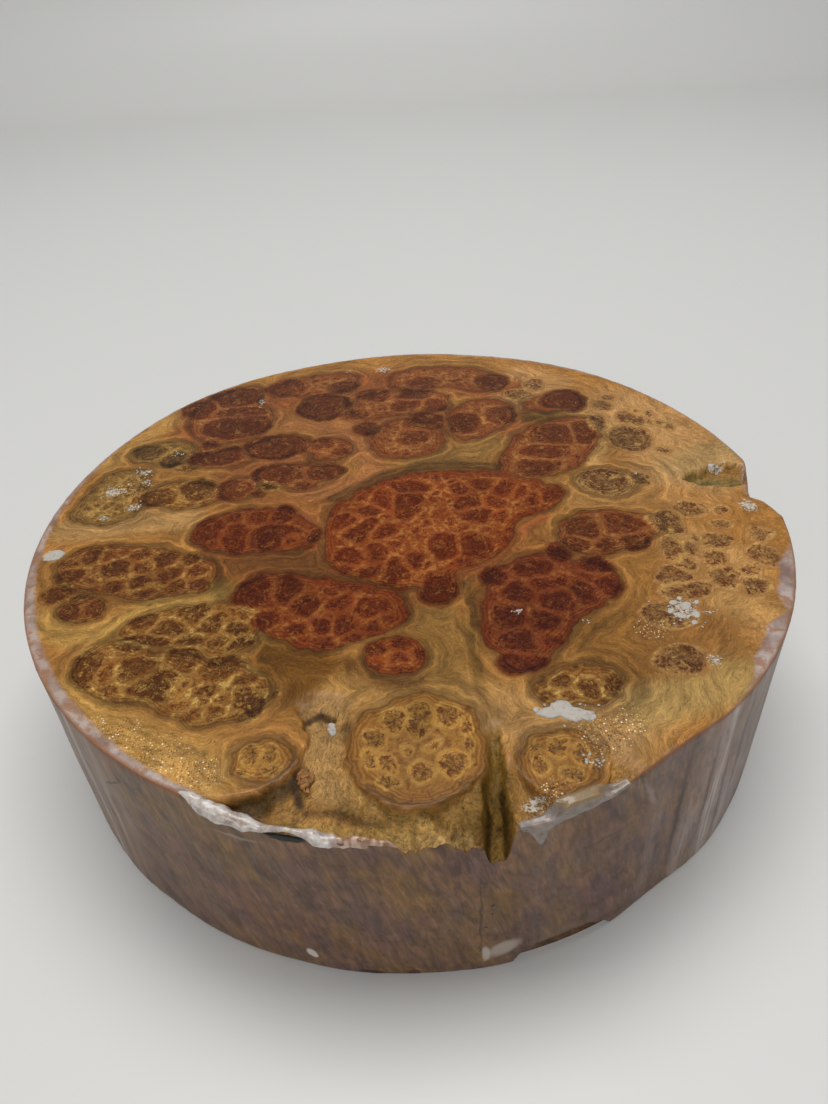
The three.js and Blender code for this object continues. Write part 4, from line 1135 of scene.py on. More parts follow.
def sawnSide():
    # The same burl cut across by the bandsaw and dipped in wax: brown with lilac and olive mottles,
    # slanting fibre, milky runs where the wax is thick.
    material, tree = emptyMaterial("waxedBurlSide")
    inMm, split = inMillimetres(tree)
    tone = (add(tree, "Attribute", attribute_name="sideTone"), "Color")
    milk = (add(tree, "Attribute", attribute_name="milk"), "Fac")

    # fibre that leans as it climbs: the place is turned about the axis by its height
    lean = add(tree, "Math", {0: (split, "Z"), 1: 0.0018}, operation="MULTIPLY")
    leaned = add(tree, "VectorRotate", {"Vector": inMm, "Angle": lean},
                 rotation_type="Z_AXIS")
    fibrePlace = add(tree, "VectorMath", {0: leaned, 1: (0.42, 0.42, 0.07)},
                     operation="MULTIPLY")
    fibre = add(tree, "TexNoise",
                {"Vector": fibrePlace, "Scale": 1.5, "Detail": 6.0, "Roughness": 0.75, "Distortion": 0.5})
    fibreShade = add(tree, "MapRange",
                     {"Value": (fibre, "Fac"), "From Min": 0.35, "From Max": 0.65, "To Min": 0.52,
                      "To Max": 1.36})

    # mottles: size in mm, colour, from which noise on and how strongly
    mottled = tone
    for size, colour, low, high, strength, shift in (
            (20, "#82602e", 0.42, 0.66, 0.6, 3), (15, "#5c4246", 0.42, 0.66, 0.6, 40),
            (8, "#94694a", 0.46, 0.7, 0.4, 80), (5, "#38251a", 0.46, 0.7, 0.5, 120),
            (2.5, "#806c6c", 0.48, 0.72, 0.25, 160)):
        rate = 1 / size
        spotPlace = add(tree, "Mapping",
                        {"Vector": leaned, "Location": (shift, shift, shift),
                         "Scale": (rate, rate, rate * 0.6)})
        spots = add(tree, "TexNoise",
                    {"Vector": spotPlace, "Scale": 1.0, "Detail": 3.0, "Roughness": 0.65})
        cover = add(tree, "MapRange",
                    {"Value": (spots, "Fac"), "From Min": low, "From Max": high, "To Max": strength},
                    interpolation_type="SMOOTHSTEP")
        mottled = add(tree, "Mix", {"Factor": cover, "A": mottled, "B": toLinear(colour)},
                      data_type="RGBA")
    lit = add(tree, "VectorMath", {0: mottled, "Scale": fibreShade}, operation="SCALE")

    # milky runs, broken up along the fall of the wax
    runPlace = add(tree, "VectorMath", {0: inMm, 1: (0.3, 0.3, 0.03)}, operation="MULTIPLY")
    runs = add(tree, "TexNoise",
               {"Vector": runPlace, "Scale": 1.0, "Detail": 4.0, "Roughness": 0.6})
    runShare = add(tree, "MapRange",
                   {"Value": (runs, "Fac"), "From Min": 0.4, "From Max": 0.62, "To Min": 0.25,
                    "To Max": 1.0})
    milkShare = add(tree, "Math", {0: milk, 1: runShare}, operation="MULTIPLY")
    milky = add(tree, "Mix", {"Factor": milkShare, "A": lit, "B": toLinear("#b9aaa3")},
                data_type="RGBA")

    # single marks, placed by arc from the front and height, on wavering coordinates
    away = add(tree, "Math", {0: (split, "Y"), 1: -1.0}, operation="MULTIPLY")
    turn = add(tree, "Math", {0: (split, "X"), 1: away}, operation="ARCTAN2")
    arc = add(tree, "Math", {0: turn, 1: float(blank["radius"])}, operation="MULTIPLY")
    unrolled = add(tree, "CombineXYZ", {"X": arc, "Y": (split, "Z")})
    waver = add(tree, "TexNoise", {"Vector": inMm, "Scale": 0.16, "Detail": 5.0})
    waverBy = add(tree, "VectorMath",
                  {0: (waver, "Color"), 1: (3.2, 3.2, 0.0), 2: (-1.6, -1.6, 0.0)},
                  operation="MULTIPLY_ADD")
    waved = add(tree, "VectorMath", {0: unrolled, 1: waverBy}, operation="ADD")
    marked = milky
    for angle, height, halfWidth, halfHeight, turned, colour, strength, softness in sideMarks:
        arcAt = roundTheRim(turnFrom(-90, angle))
        local = add(tree, "Mapping",
                    {"Vector": waved, "Location": (arcAt, height, 0.0),
                     "Rotation": (0.0, 0.0, math.radians(turned)), "Scale": (halfWidth, halfHeight, 1.0)},
                    vector_type="TEXTURE")
        reach = add(tree, "VectorMath", {0: local}, operation="LENGTH")
        cover = add(tree, "MapRange",
                    {"Value": (reach, "Value"), "From Min": 1.0 - softness, "From Max": 1.15,
                     "To Min": strength, "To Max": 0.0}, interpolation_type="SMOOTHSTEP")
        marked = add(tree, "Mix", {"Factor": cover, "A": marked, "B": toLinear(colour)},
                     data_type="RGBA")

    # browned wax along the arris
    arris = add(tree, "Math", {0: (fibre, "Fac"), 1: 3.0, 2: (split, "Z")},
                operation="MULTIPLY_ADD")
    arrisShare = add(tree, "MapRange",
                     {"Value": arris, "From Min": 75.6, "From Max": 77.0, "To Max": 0.75},
                     interpolation_type="SMOOTHSTEP")
    whole = add(tree, "Mix", {"Factor": arrisShare, "A": marked, "B": toLinear("#87583a")},
                data_type="RGBA")
    runHeight = add(tree, "Math", {0: (fibre, "Fac"), 1: 0.5, 2: (runs, "Fac")},
                    operation="MULTIPLY_ADD")
    bump = add(tree, "Bump", {"Strength": 0.5, "Distance": 0.0003, "Height": runHeight})
    roughness = add(tree, "MapRange",
                    {"Value": (fibre, "Fac"), "From Min": 0.2, "From Max": 0.8, "To Min": 0.34,
                     "To Max": 0.6})
    surface = add(tree, "BsdfPrincipled",
                  {"Base Color": whole, "Roughness": roughness, "IOR": 1.35, "Coat Weight": 0.08,
                   "Coat Roughness": 0.15, "Coat IOR": 1.44, "Normal": bump})
    add(tree, "OutputMaterial", {"Surface": surface})
    return material


# Wax

def seatOn(mesh):
    # the height of the wood in mm below any place on the top
    tree = BVHTree.FromPolygons([vert.co for vert in mesh.vertices],
                                [tuple(face.vertices) for face in mesh.polygons])

    def seat(x, y):
        hit = tree.ray_cast(Vector((x * mm, y * mm, 0.1)), Vector((0, 0, -1)))[0]
        return hit.z / mm if hit else blank["thickness"]
    return seat


def shell(name, points, faces):
    # a closed smooth mesh from points in mm, normals outward
    mesh = bpy.data.meshes.new(name)
    mesh.from_pydata([tuple(c * mm for c in point) for point in points], [], faces)
    work = bmesh.new()
    work.from_mesh(mesh)
    bmesh.ops.recalc_face_normals(work, faces=work.faces[:])
    for face in work.faces:
        face.smooth = True
    work.to_mesh(mesh)
    work.free()
    return mesh


def tubeFaces(rows, around):
    # quads between rows of a tube, and a fan on a point at each end
    faces = []
    for row in range(rows - 1):
        for k in range(around):
            n = (k + 1) % around
            faces.append((row * around + k, row * around + n, (row + 1) * around + n,
                          (row + 1) * around + k))
    first, last = rows * around, rows * around + 1
    for k in range(around):
        n = (k + 1) % around
        faces.append((first, n, k))
        faces.append((last, (rows - 1) * around + k, (rows - 1) * around + n))
    return faces


waxBead = {
    "rows": 150,
    "around": 20,
    "inset": 0.9,  # mm from the rim in to its middle
    "overhang": 1.2,
    # angle, half width across the rim, half height, how far above the arris its middle lies, mm
    "profile": [(-117.8, 0.3, 0.3, -0.2), (-116.4, 1.2, 1.0, 0.2), (-114.8, 2.6, 2.5, 0.2),
                (-113, 2.8, 2.9, 0), (-111.2, 2.0, 2.1, -0.2), (-109.6, 2.3, 1.9, -0.2),
                (-108, 1.4, 1.1, 0.3), (-106.4, 0.9, 0.7, 0.8), (-104.4, 0.7, 0.6, 0.9),
                (-102.8, 1.0, 0.8, 0.4), (-101.4, 2.1, 2.2, -0.7), (-100, 1.9, 1.8, -0.6),
                (-98.8, 1.0, 2.2, -1.0), (-96, 1.0, 2.7, -1.3), (-93.8, 0.8, 2.0, -1.2),
                (-92, 0.25, 0.3, -0.5)],
    "lumps": 0.2,
    "agedFrom": (-100, -98.6),  # from here on the wax is old and brown
}


def beadMesh(seat):
    columns = np.array(waxBead["profile"])
    rows, around = waxBead["rows"], waxBead["around"]
    angles = np.linspace(columns[0, 0], columns[-1, 0], rows)
    wide, tall, rise = (np.interp(angles, columns[:, 0], columns[:, k]) for k in (1, 2, 3))
    rim = blank["radius"] - waxBead["inset"]
    floor = np.array([seat(rim * math.cos(a), rim * math.sin(a)) for a in np.radians(angles)])
    floor = np.convolve(np.pad(floor, 4, mode="edge"), np.ones(9) / 9, mode="valid")
    points = []
    for angle, w, t, up, z in zip(np.radians(angles), wide, tall, rise, floor):
        for k in range(around):
            turn = 2 * math.pi * k / around
            radius = rim + w * math.cos(turn)
            points.append((radius * math.cos(angle), radius * math.sin(angle),
                           z + up + t * math.sin(turn)))
    for end, angle in ((0, angles[0]), (-1, angles[-1])):
        a = math.radians(angle)
        points.append((rim * math.cos(a), rim * math.sin(a), floor[end] + rise[end]))
    points = np.array(points)
    middle = np.repeat(np.stack([rim * np.cos(np.radians(angles)), rim * np.sin(np.radians(angles)),
                                 floor + rise], 1), around, axis=0)
    swell = 1 + waxBead["lumps"] * softNoise(points, 2.6, 81) + 0.07 * softNoise(points, 1.1, 82)
    points[:-2] = middle + (points[:-2] - middle) * swell[:-2, None]
    reach = np.hypot(points[:, 0], points[:, 1])
    limit = np.minimum(reach, blank["radius"] + waxBead["overhang"])
    points[:, :2] *= (limit / reach)[:, None]
    mesh = shell("waxBead", points, tubeFaces(rows, around))
    degrees = np.degrees(np.arctan2(points[:, 1], points[:, 0]))
    store(mesh, {"aged": smoothStep(degrees, *waxBead["agedFrom"])})
    return mesh


waxDrip = {
    "columns": 64,
    "rows": 40,
    "startsAt": 137,  # radius in mm where the curtain begins on the top
    # angle, height of the lower border in mm
    "border": [(-79.6, 70.6), (-79, 69.6), (-78.5, 68.6), (-78, 66.6), (-77.6, 64.4),
               (-77.2, 63.8), (-76.8, 64.8), (-76.3, 67.2), (-75.6, 69), (-74, 70), (-71.5, 70.8),
               (-69, 72.4), (-67.2, 73.8), (-66.4, 74.6)],
    "thickness": 0.55,
    "overhang": 2.4,
    "tipAt": -77.3,  # degrees, as is its spread
    "tipSpread": 0.8,
    "tipFrom": 72,  # height in mm, fully swollen 8 mm lower
    "tipSwell": 1.3,
}


def dripMesh(seat):
    # a thin curtain over the lip of the wood and down the side: outer face, inner face, closed round
    border = np.array(waxDrip["border"])
    columns, rows = waxDrip["columns"], waxDrip["rows"]
    degrees = np.linspace(border[0, 0], border[-1, 0], columns)
    low = np.interp(degrees, border[:, 0], border[:, 1])[:, None]
    angles = np.radians(degrees)[:, None]
    rim, onTop = blank["radius"] - 0.1, rows // 2
    edge = np.clip(np.sin(math.pi * np.linspace(0, 1, columns)), 0, 1)[:, None] ** 0.4
    run = np.minimum(np.arange(rows) / onTop, 1)[None, :]
    fall = np.maximum((np.arange(rows) - onTop) / (rows - 1 - onTop), 0)[None, :]
    start = waxDrip["startsAt"] + 1.6 * (1 - edge)
    radius = start + (rim - start) * run
    wood = np.array([[seat(min(r, rim - 0.8) * math.cos(a), min(r, rim - 0.8) * math.sin(a))
                      for r in line] for a, line in zip(angles[:, 0], radius)])
    level = wood.copy()
    for _ in range(3):  # wax bridges the hollows of the bark
        padded = np.pad(level, 2, mode="edge")
        level = np.maximum(sum(padded[i:i + columns, j:j + rows] for i in range(5) for j in range(5)) / 25,
                           wood - 0.2)
    lip = level[:, onTop:onTop + 1] + 0.2
    height = level + (np.minimum(low, lip - 0.6) - lip) * fall
    tip = (np.exp(-((degrees[:, None] - waxDrip["tipAt"]) / waxDrip["tipSpread"]) ** 2)
           * np.clip((waxDrip["tipFrom"] - height) / 8, 0, 1))
    fade = edge * np.minimum(np.minimum(1, 3.5 * run), 0.35 + 3 * (1 - fall))
    thick = waxDrip["thickness"] * np.maximum(fade, 0.12) + waxDrip["tipSwell"] * tip
    out = np.where(fall > 0, 1.0, 0.15 * run)
    down = np.where(fall > 0, 0.25 * (1 - fall), 1.0)
    sheets = []
    for reach, rise in ((radius + thick * out, height + thick * down),
                        (radius - 0.5 * out, height - 0.5 * down)):
        sheets.append(np.stack([reach * np.cos(angles), reach * np.sin(angles), rise], 2).reshape(-1, 3))
    points = np.concatenate(sheets)
    count = columns * rows
    points[:count, 2] += 0.12 * softNoise(points[:count], 2.4, 83)
    reach = np.hypot(points[:, 0], points[:, 1])
    reach[:count] += 0.12 * softNoise(points[:count], 2, 84)
    limit = np.minimum(reach, blank["radius"] + waxDrip["overhang"])
    points[:, :2] *= (limit / np.hypot(*points[:, :2].T))[:, None]
    faces = []
    for column in range(columns - 1):
        for row in range(rows - 1):
            a = column * rows + row
            faces.append((a, a + 1, a + rows + 1, a + rows))
            faces.append((count + a, count + a + rows, count + a + rows + 1, count + a + 1))
    ring = ([k * rows for k in range(columns)]
            + [(columns - 1) * rows + k for k in range(1, rows)]
            + [k * rows + rows - 1 for k in range(columns - 2, -1, -1)]
            + list(range(rows - 2, 0, -1)))
    for a, b in zip(ring, ring[1:] + ring[:1]):
        faces.append((a, b, count + b, count + a))
    return shell("waxDrip", points, faces)


# Chips of wax, outlines in mm about a middle; one or several make a flake
chipOutlines = {
    "torn": [(-8.6, -1), (-7, 0.8), (-4.6, 1.2), (-3.3, 3.4), (-1, 4.4), (1.4, 3.8), (2.6, 1.9), (4.3, 1.5),
             (6.2, 0.3), (8.2, 0.5), (8.5, -1), (6.9, -1.5), (6.5, -3.4), (4.6, -2.5), (3.1, -4),
             (0.6, -3.1), (-1.4, -1.8), (-4, -2.9), (-6.1, -2.1)],
    "lump": [(-4.4, -1), (-3.2, 2.2), (-0.5, 3.4), (2.6, 2.6), (4.4, 0.4), (3.4, -2), (0.6, -3.3),
             (-2.6, -2.9)],
    "sliver": [(-1, -3.1), (-1.4, 0), (-1.2, 2.9), (0.1, 3.4), (1.1, 2.8), (1.3, -0.2), (1.2, -2.8),
               (0.1, -3.4)],
    "crumb": [(-1.5, -0.7), (-1.1, 0.9), (0.1, 1.3), (1.4, 0.6), (1.2, -0.8), (-0.1, -1.3)],
}
waxFlakes = {  # piece: its node, then its chips as outline, x, y, turn, size, thickness
    "waxFlakeFront": ("wax_flake_front", [
        ("torn", 42.6, -103.8, -6, 1.0, 0.55), ("crumb", 50, -106.4, 20, 0.9, 0.4),
        ("crumb", 34.6, -102.4, 60, 0.7, 0.3)]),
    "waxFlakeLeft": ("wax_flake_left", [("lump", -131, -15, 14, 1.0, 0.8)]),
    "waxFlakeRight": ("wax_flake_right", [
        ("lump", 89.4, -62.4, 30, 0.55, 0.35), ("crumb", 86, -60.4, 0, 1.0, 0.3),
        ("crumb", 91.6, -66.6, 70, 1.2, 0.35), ("lump", 87, -67, -20, 0.42, 0.35),
        ("crumb", 84, -64.6, 40, 0.8, 0.3), ("crumb", 90, -70.4, 10, 0.8, 0.3),
        ("crumb", 93.5, -61, 30, 0.7, 0.3), ("crumb", 88.5, -58.6, 80, 0.7, 0.3)]),
    "waxSliver": (None, [("sliver", -24.4, -103.4, 10, 1.0, 1.1)]),
}


def chipPoints(seat, outline, x, y, turn, size, thickness, seed):
    # one chip: a top that follows the wood and domes towards its middle, and a buried underside
    spokes, rings = 56, 7
    corners = rounded(chipOutlines[outline], 1 if outline == "torn" else 2)
    lengths = np.hypot(*(np.roll(corners, -1, axis=0) - corners).T)
    along = np.concatenate([[0], np.cumsum(lengths)])
    at = np.linspace(0, along[-1], spokes, endpoint=False)
    closed = np.vstack([corners, corners[:1]])
    border = np.stack([np.interp(at, along, closed[:, k]) for k in (0, 1)], 1) * size
    border *= (1 + 0.1 * softNoise(border + seed * 7, 0.9, 91))[:, None]
    angle = math.radians(turn)
    turning = np.array([[math.cos(angle), math.sin(angle)], [-math.sin(angle), math.cos(angle)]])
    border = border @ turning
    points, faces = [], []
    for side in (1, -1):
        start = len(points)
        points.append((x, y, 0, side))
        for ring in range(1, rings + 1):
            share = ring / rings
            points += [(x + bx * share, y + by * share, share, side) for bx, by in border]
        for k in range(spokes):
            n = (k + 1) % spokes
            faces.append((start, start + 1 + k, start + 1 + n))
            for ring in range(rings - 1):
                a = start + 1 + ring * spokes
                faces.append((a + k, a + spokes + k, a + spokes + n, a + n))
    top, under = 1 + (rings - 1) * spokes, 2 + (2 * rings - 1) * spokes
    for k in range(spokes):
        n = (k + 1) % spokes
        faces.append((top + k, under + k, under + n, top + n))
    places = np.array(points)
    rough = 1 + 0.25 * softNoise(places[:, :2], 2.2, 92 + seed) + 0.2 * softNoise(places[:, :2], 0.7, 93)
    dome = np.clip(1 - places[:, 2] ** 8 * 0.6, 0, 1)
    heights = []
    for (px, py, _, side), high, lump in zip(points, dome, rough):
        z = seat(px, py)
        heights.append(z + thickness * high * lump if side == 1 else z - 0.35)
    return [(px, py, z) for (px, py, _, _), z in zip(points, heights)], faces


def flakeMesh(name, chips, seat):
    points, faces = [], []
    for seed, chip in enumerate(chips):
        more, moreFaces = chipPoints(seat, *chip, seed)
        faces += [tuple(k + len(points) for k in face) for face in moreFaces]
        points += more
    return shell(name, points, faces)


waxCrumbs = {
    "across": 1.0,  # mm
    "flatness": 0.4,
    "seed": 4,
    # x, y, half width, half height, how many
    "beds": [(-109, 40, 4, 3, 14), (-107, 32, 3, 2.4, 9), (-119, 26, 4.5, 4, 18), (-108, 14, 4, 3, 11),
             (-118, 7, 2.6, 2, 6), (-99, 53, 3, 2, 6), (-66, 97, 1, 3.4, 8), (-8, 125, 3, 2, 8),
             (35, -60, 1.2, 0.8, 5), (88, -65, 6, 6.5, 22), (125.6, 20.4, 4, 0.6, 9),
             (43, -104, 10, 5, 16), (91, -87, 1.4, 2.2, 6), (129, -10, 2.6, 3, 8), (95.6, -66, 2.4, 0.8, 3),
             (56, -67, 0.6, 0.6, 1), (33, -132, 4, 1.6, 8), (47, -121, 4, 2, 8), (93, 17, 1, 0.5, 2)],
}


def crumbMesh(seat, material):
    # crumbs of wax spread over their beds, one node tree for all of them
    random = np.random.default_rng(waxCrumbs["seed"])
    places = []
    for cx, cy, rx, ry, count in waxCrumbs["beds"]:
        for _ in range(count):
            x, y = cx + rx * random.normal(0, 0.55), cy + ry * random.normal(0, 0.55)
            places.append((x * mm, y * mm, (seat(x, y) + 0.1) * mm))
    bed = bpy.data.meshes.new("crumbBeds")
    bed.from_pydata(places, [], [])
    holder = bpy.data.objects.new("crumbBeds", bed)
    bpy.context.scene.collection.objects.link(holder)
    tree = bpy.data.node_groups.new("waxCrumbs", "GeometryNodeTree")
    sockets = tree.interface
    sockets.new_socket(name="Geometry", in_out="INPUT", socket_type="NodeSocketGeometry")
    across = sockets.new_socket(name="Across", in_out="INPUT", socket_type="NodeSocketFloat")
    flatness = sockets.new_socket(name="Flatness", in_out="INPUT", socket_type="NodeSocketFloat")
    seed = sockets.new_socket(name="Seed", in_out="INPUT", socket_type="NodeSocketInt")
    sockets.new_socket(name="Geometry", in_out="OUTPUT", socket_type="NodeSocketGeometry")
    given = add(tree, "NodeGroupInput")
    grain = add(tree, "GeometryNodeMeshIcoSphere", {"Radius": 0.5, "Subdivisions": 2})
    place = add(tree, "GeometryNodeInputPosition")
    dents = add(tree, "TexNoise", {"Vector": place, "Scale": 2.6, "Detail": 2.0})
    dentBy = add(tree, "VectorMath",
                 {0: (dents, "Color"), 1: (0.8, 0.8, 0.8), 2: (-0.4, -0.4, -0.4)},
                 operation="MULTIPLY_ADD")
    dented = add(tree, "GeometryNodeSetPosition", {"Geometry": grain, "Offset": dentBy})
    turn = add(tree, "FunctionNodeRandomValue",
               {"Max": (0.5, 0.5, 6.28), "Seed": (given, "Seed")}, data_type="FLOAT_VECTOR")
    size = add(tree, "FunctionNodeRandomValue", {"Min": 0.3, "Max": 1.2, "Seed": (given, "Seed")},
               data_type="FLOAT")
    sized = add(tree, "Math", {0: (given, "Across"), 1: size}, operation="MULTIPLY")
    low = add(tree, "Math", {0: sized, 1: (given, "Flatness")}, operation="MULTIPLY")
    scale = add(tree, "CombineXYZ", {"X": sized, "Y": sized, "Z": low})
    spread = add(tree, "GeometryNodeInstanceOnPoints",
                 {"Points": (given, "Geometry"), "Instance": dented, "Rotation": turn, "Scale": scale})
    real = add(tree, "GeometryNodeRealizeInstances", {"Geometry": spread})
    smooth = add(tree, "GeometryNodeSetShadeSmooth", {"Geometry": real})
    painted = add(tree, "GeometryNodeSetMaterial", {"Geometry": smooth, "Material": material})
    add(tree, "NodeGroupOutput", {"Geometry": painted})
    modifier = holder.modifiers.new("waxCrumbs", "NODES")
    modifier.node_group = tree
    modifier[across.identifier] = waxCrumbs["across"] * mm
    modifier[flatness.identifier] = waxCrumbs["flatness"]
    modifier[seed.identifier] = waxCrumbs["seed"]
    evaluated = holder.evaluated_get(bpy.context.evaluated_depsgraph_get())
    mesh = bpy.data.meshes.new_from_object(evaluated)
    mesh.name = "waxCrumbs"
    bpy.data.objects.remove(holder)
    bpy.data.meshes.remove(bed)
    bpy.data.node_groups.remove(tree)
    return mesh


def paraffin(name, dull, clean, onTop, stainMost, roughness, coat, through):
    # Paraffin that ran and set: milky and satin where thick, greyer where thin and the wood shows
    # through, chalky where it was scuffed off in crumbs. Stained brown by the bark's sap, and over
    # the sawn face, where it lies thinnest, tinted by the wood under it.
    material, tree = emptyMaterial(name)
    inMm, split = inMillimetres(tree)
    cloud = add(tree, "TexNoise", {"Vector": inMm, "Scale": 0.35, "Detail": 4.0})
    cloudShare = add(tree, "MapRange",
                     {"Value": (cloud, "Fac"), "From Min": 0.35, "From Max": 0.65})
    tint = add(tree, "Mix",
               {"Factor": cloudShare, "A": toLinear(dull), "B": toLinear(clean)}, data_type="RGBA")
    stain = add(tree, "TexNoise",
                {"Vector": inMm, "Scale": 0.6, "Detail": 3.0, "Roughness": 0.7})
    stainShare = add(tree, "MapRange",
                     {"Value": (stain, "Fac"), "From Min": 0.52, "From Max": 0.68, "To Max": stainMost},
                     interpolation_type="SMOOTHSTEP")
    height = add(tree, "Math", {0: (cloud, "Fac"), 1: 2.0, 2: (split, "Z")},
                 operation="MULTIPLY_ADD")
    topShare = add(tree, "MapRange",
                   {"Value": height, "From Min": 74.6, "From Max": 77.0, "To Max": 0.85},
                   interpolation_type="SMOOTHSTEP")
    topped = add(tree, "Mix", {"Factor": topShare, "A": tint, "B": toLinear(onTop)},
                 data_type="RGBA")
    stained = add(tree, "Mix",
                  {"Factor": stainShare, "A": topped, "B": toLinear("#9c7658")}, data_type="RGBA")
    # old wax, pinkish tan with brown runs 2 mm apart
    aged = (add(tree, "Attribute", attribute_name="aged"), "Fac")
    runPlace = add(tree, "VectorMath", {0: inMm, 1: (0.55, 0.55, 0.07)}, operation="MULTIPLY")
    runs = add(tree, "TexNoise", {"Vector": runPlace, "Scale": 1.0, "Detail": 2.0})
    runShare = add(tree, "MapRange", {"Value": (runs, "Fac"), "From Min": 0.4, "From Max": 0.6})
    agedTone = add(tree, "Mix",
                   {"Factor": runShare, "A": toLinear("#c2a692"), "B": toLinear("#8a6446")},
                   data_type="RGBA")
    whole = add(tree, "Mix", {"Factor": aged, "A": stained, "B": agedTone}, data_type="RGBA")
    lumps = add(tree, "TexNoise", {"Vector": inMm, "Scale": 1.3, "Detail": 3.0})
    bump = add(tree, "Bump", {"Strength": 0.5, "Distance": 0.0002, "Height": (lumps, "Fac")})
    satin = add(tree, "MapRange",
                {"Value": (cloud, "Fac"), "From Min": 0.3, "From Max": 0.7, "To Min": roughness,
                 "To Max": roughness + 0.2})
    surface = add(tree, "BsdfPrincipled",
                  {"Base Color": whole, "Roughness": satin, "IOR": 1.44,
                   "Subsurface Weight": through, "Subsurface Radius": (0.003, 0.0022, 0.0018),
                   "Subsurface Scale": 1.0, "Coat Weight": coat, "Coat Roughness": 0.08,
                   "Normal": bump})
    add(tree, "OutputMaterial", {"Surface": surface})
    return material


# Splinter that leans from the left lobe's edge over the slope: head and foot, lift off the bark, mm
splinter = {"head": (-31.6, -118.2), "foot": (-29.4, -126.4), "lift": 1.6, "halfWidth": 2.2,
            "halfThickness": 0.7, "rows": 26, "around": 14, "sway": 0.9, "fray": 0.6}


def splinterMesh(seat):
    rows, around = splinter["rows"], splinter["around"]
    head, foot = (np.array((x, y, seat(x, y) + splinter["lift"] * up))
                  for (x, y), up in ((splinter["head"], 0.6), (splinter["foot"], 1)))
    down = (foot - head) / np.linalg.norm(foot - head)
    across = np.cross(down, (0, -0.6, 0.8))
    across /= np.linalg.norm(across)
    normal = np.cross(across, down)
    shares = np.linspace(0, 1, rows)
    width = splinter["halfWidth"] * np.interp(shares, [0, 0.06, 0.3, 0.6, 0.9, 1],
                                              [0.35, 0.75, 1, 0.8, 0.3, 0.05])
    thick = splinter["halfThickness"] * np.interp(shares, [0, 0.1, 0.7, 1], [0.4, 1, 0.8, 0.1])
    points = []
    for share, w, t in zip(shares, width, thick):
        for k in range(around):
            turn = 2 * math.pi * k / around
            points.append(head + (foot - head) * share + across * w * math.cos(turn)
                          + normal * t * math.sin(turn))
    points = np.array(points + [head, foot])
    sway = splinter["sway"] * softNoise(points, (0.9, 0.9, 1.8), 95)
    fray = splinter["fray"] * softNoise(points, 0.8, 96)
    points += across * sway[:, None] + down * fray[:, None]
    mesh = shell("splinter", points, tubeFaces(rows, around))
    count = len(mesh.vertices)
    flat = points[:, :2]
    layers = {name: np.zeros(count) for name in ("flow", "cellEdge", "held", "filmHold", "powder",
                                                 "sparkle", "net", "pores", "milk")}
    layers["filmIn"] = np.full(count, -4.0)
    layers["inward"] = np.full(count, 12.0)
    layers["barky"] = np.ones(count)
    layers["shade"] = 1 + 0.2 * softNoise(flat, 1, 97)
    layers["offset"] = np.zeros((count, 3))
    for name in ("cellTone", "lineTone", "groundTone", "sideTone"):
        layers[name] = np.tile(toLinear("#96683a"), (count, 1))
    store(mesh, layers)
    return mesh


# Assembly

def addPiece(mesh, name, material, node=None):
    piece = bpy.data.objects.new(name, mesh)
    bpy.context.scene.collection.objects.link(piece)
    if material:
        mesh.materials.clear()
        mesh.materials.append(material)
    if node:
        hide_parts(node)
    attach(piece, "root")
    mesh.calc_loop_triangles()
    print(name, len(mesh.loop_triangles), "triangles")


print("burl blank")
faceWood, sideWood = figuredFace(), sawnSide()
blankMesh = burlBlank()
seat = seatOn(blankMesh)
chip = bpy.data.objects.new("splinter", splinterMesh(seat))
body = bpy.data.objects.new("burlBlank", blankMesh)
for half in (body, chip):
    half.data.materials.append(faceWood)
    half.data.materials.append(sideWood)
    bpy.context.scene.collection.objects.link(half)
with bpy.context.temp_override(active_object=body, selected_editable_objects=[body, chip]):
    bpy.ops.object.join()
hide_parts("burl_blank")
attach(body, "root")
body.data.calc_loop_triangles()
print("burlBlank", len(body.data.loop_triangles), "triangles")

print("wax")
thickWax = paraffin("setParaffin", "#9c8d84", "#d0cac3", "#c6beb5", 0.6, 0.2, 0.35, 0.3)
thinWax = paraffin("thinParaffin", "#6c5e54", "#8e8279", "#8a724c", 0.4, 0.22, 0.3, 0.2)
chalkyWax = paraffin("chalkyParaffin", "#8e867b", "#c4bfb7", "#b2aba0", 0.5, 0.5, 0.0, 0.15)
addPiece(beadMesh(seat), "waxBead", thickWax, "wax_bead")
addPiece(dripMesh(seat), "waxDrip", thinWax, "wax_drip")
for name, (node, chips) in waxFlakes.items():
    addPiece(flakeMesh(name, chips, seat), name, chalkyWax, node)
addPiece(crumbMesh(seat, chalkyWax), "waxCrumbs", None)

# Floor, light and camera

print("studio")
studio = {
    "floorSize": 6.0,
    "wallAt": 1.25,  # metres behind the object
    "coveRadius": 0.25,
    "wallHeight": 0.5,
    "floorColour": "#d6d5d2",
    "worldColour": "#e9ecee",
    "seenStrength": 0.8,
    "lightStrength": 0.28,
}


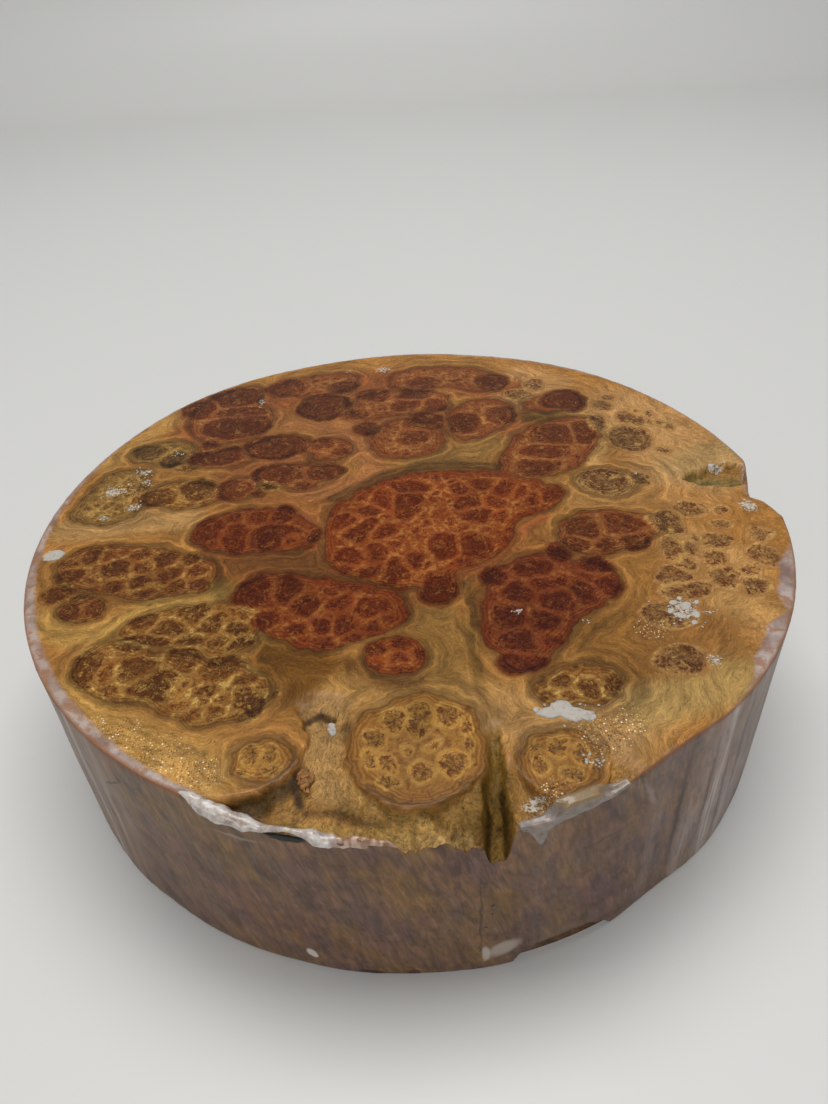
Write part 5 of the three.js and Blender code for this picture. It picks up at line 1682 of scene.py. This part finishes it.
def backdrop():
    # floor that curves up into a wall, seen from the front
    half, wall, cove = studio["floorSize"] / 2, studio["wallAt"], studio["coveRadius"]
    profile = [(-half, 0.0), (0.0, 0.0)]
    for step in range(13):
        angle = math.radians(90 * step / 12)
        profile.append((wall + cove * math.sin(angle), cove - cove * math.cos(angle)))
    profile.append((wall + cove, studio["wallHeight"]))
    points = [(x, y, z) for y, z in profile for x in (-half, half)]
    faces = [(2 * k, 2 * k + 1, 2 * k + 3, 2 * k + 2) for k in range(len(profile) - 1)]
    mesh = bpy.data.meshes.new("backdrop")
    mesh.from_pydata(points, [], faces)
    for face in mesh.polygons:
        face.use_smooth = True
    material, tree = emptyMaterial("palePaint")
    place = add(tree, "TexCoord")
    cloud = add(tree, "TexNoise", {"Vector": (place, "Object"), "Scale": 1.5, "Detail": 2.0})
    tint = add(tree, "Mix",
               {"Factor": (cloud, "Fac"), "A": toLinear("#d1d0cd"), "B": toLinear(studio["floorColour"])},
               data_type="RGBA")
    surface = add(tree, "BsdfPrincipled", {"Base Color": tint, "Roughness": 0.5})
    add(tree, "OutputMaterial", {"Surface": surface})
    mesh.materials.append(material)
    floor = bpy.data.objects.new("backdrop", mesh)
    bpy.context.scene.collection.objects.link(floor)


def softLight(name, place, target, width, depth, power):
    lamp = bpy.data.lights.new(name, "AREA")
    lamp.shape = "RECTANGLE"
    lamp.size, lamp.size_y = width, depth
    lamp.energy = power
    holder = bpy.data.objects.new(name, lamp)
    holder.location = place
    holder.rotation_euler = (Vector(target) - Vector(place)).to_track_quat("-Z", "Y").to_euler()
    bpy.context.scene.collection.objects.link(holder)


photoCamera = {
    "place": (0.00224, -0.26124, 0.26012),
    "pitchDown": 0.663,
    "roll": -0.059,
    "focalPixels": 829,  # for a frame 828 pixels wide and 1104 high
    "frameHeight": 1104,
    "sensorSize": 36,  # mm along the frame's longer side
}


def makeCamera():
    pitch, roll = photoCamera["pitchDown"], photoCamera["roll"]
    ahead = Vector((0, math.cos(pitch), -math.sin(pitch)))
    right = Vector((1, 0, 0))
    above = right.cross(ahead)
    turnedRight = right * math.cos(roll) + above * math.sin(roll)
    turnedUp = above * math.cos(roll) - right * math.sin(roll)
    data = bpy.data.cameras.new("camera")
    data.sensor_width = photoCamera["sensorSize"]
    data.lens = data.sensor_width * photoCamera["focalPixels"] / photoCamera["frameHeight"]
    data.clip_start = 0.01
    camera = bpy.data.objects.new("camera", data)
    turn = Matrix((turnedRight, turnedUp, -ahead)).transposed()
    camera.matrix_world = Matrix.Translation(photoCamera["place"]) @ turn.to_4x4()
    bpy.context.scene.collection.objects.link(camera)
    bpy.context.scene.camera = camera


def studioAir():
    # pale where the camera sees past the floor, dimmer as light, so that the wax keeps its depth
    world = bpy.data.worlds.new("studioAir")
    bpy.context.scene.world = world
    world.use_nodes = True
    tree = world.node_tree
    tree.nodes.clear()
    path = add(tree, "LightPath")
    pale = toLinear(studio["worldColour"])
    seen = add(tree, "Background", {"Color": pale, "Strength": studio["seenStrength"]})
    light = add(tree, "Background", {"Color": pale, "Strength": studio["lightStrength"]})
    either = add(tree, "MixShader", {0: (path, "Is Camera Ray"), 1: light, 2: seen})
    add(tree, "OutputWorld", {"Surface": either})


backdrop()
softLight("ceilingPanel", (0.0, 0.35, 1.9), (0, 0.1, 0), 1.5, 0.9, 28)
softLight("frontPanel", (-0.3, -1.5, 1.1), (0, 0, 0.03), 1.0, 0.6, 9)
studioAir()
bpy.context.scene.view_settings.view_transform = "Standard"
makeCamera()
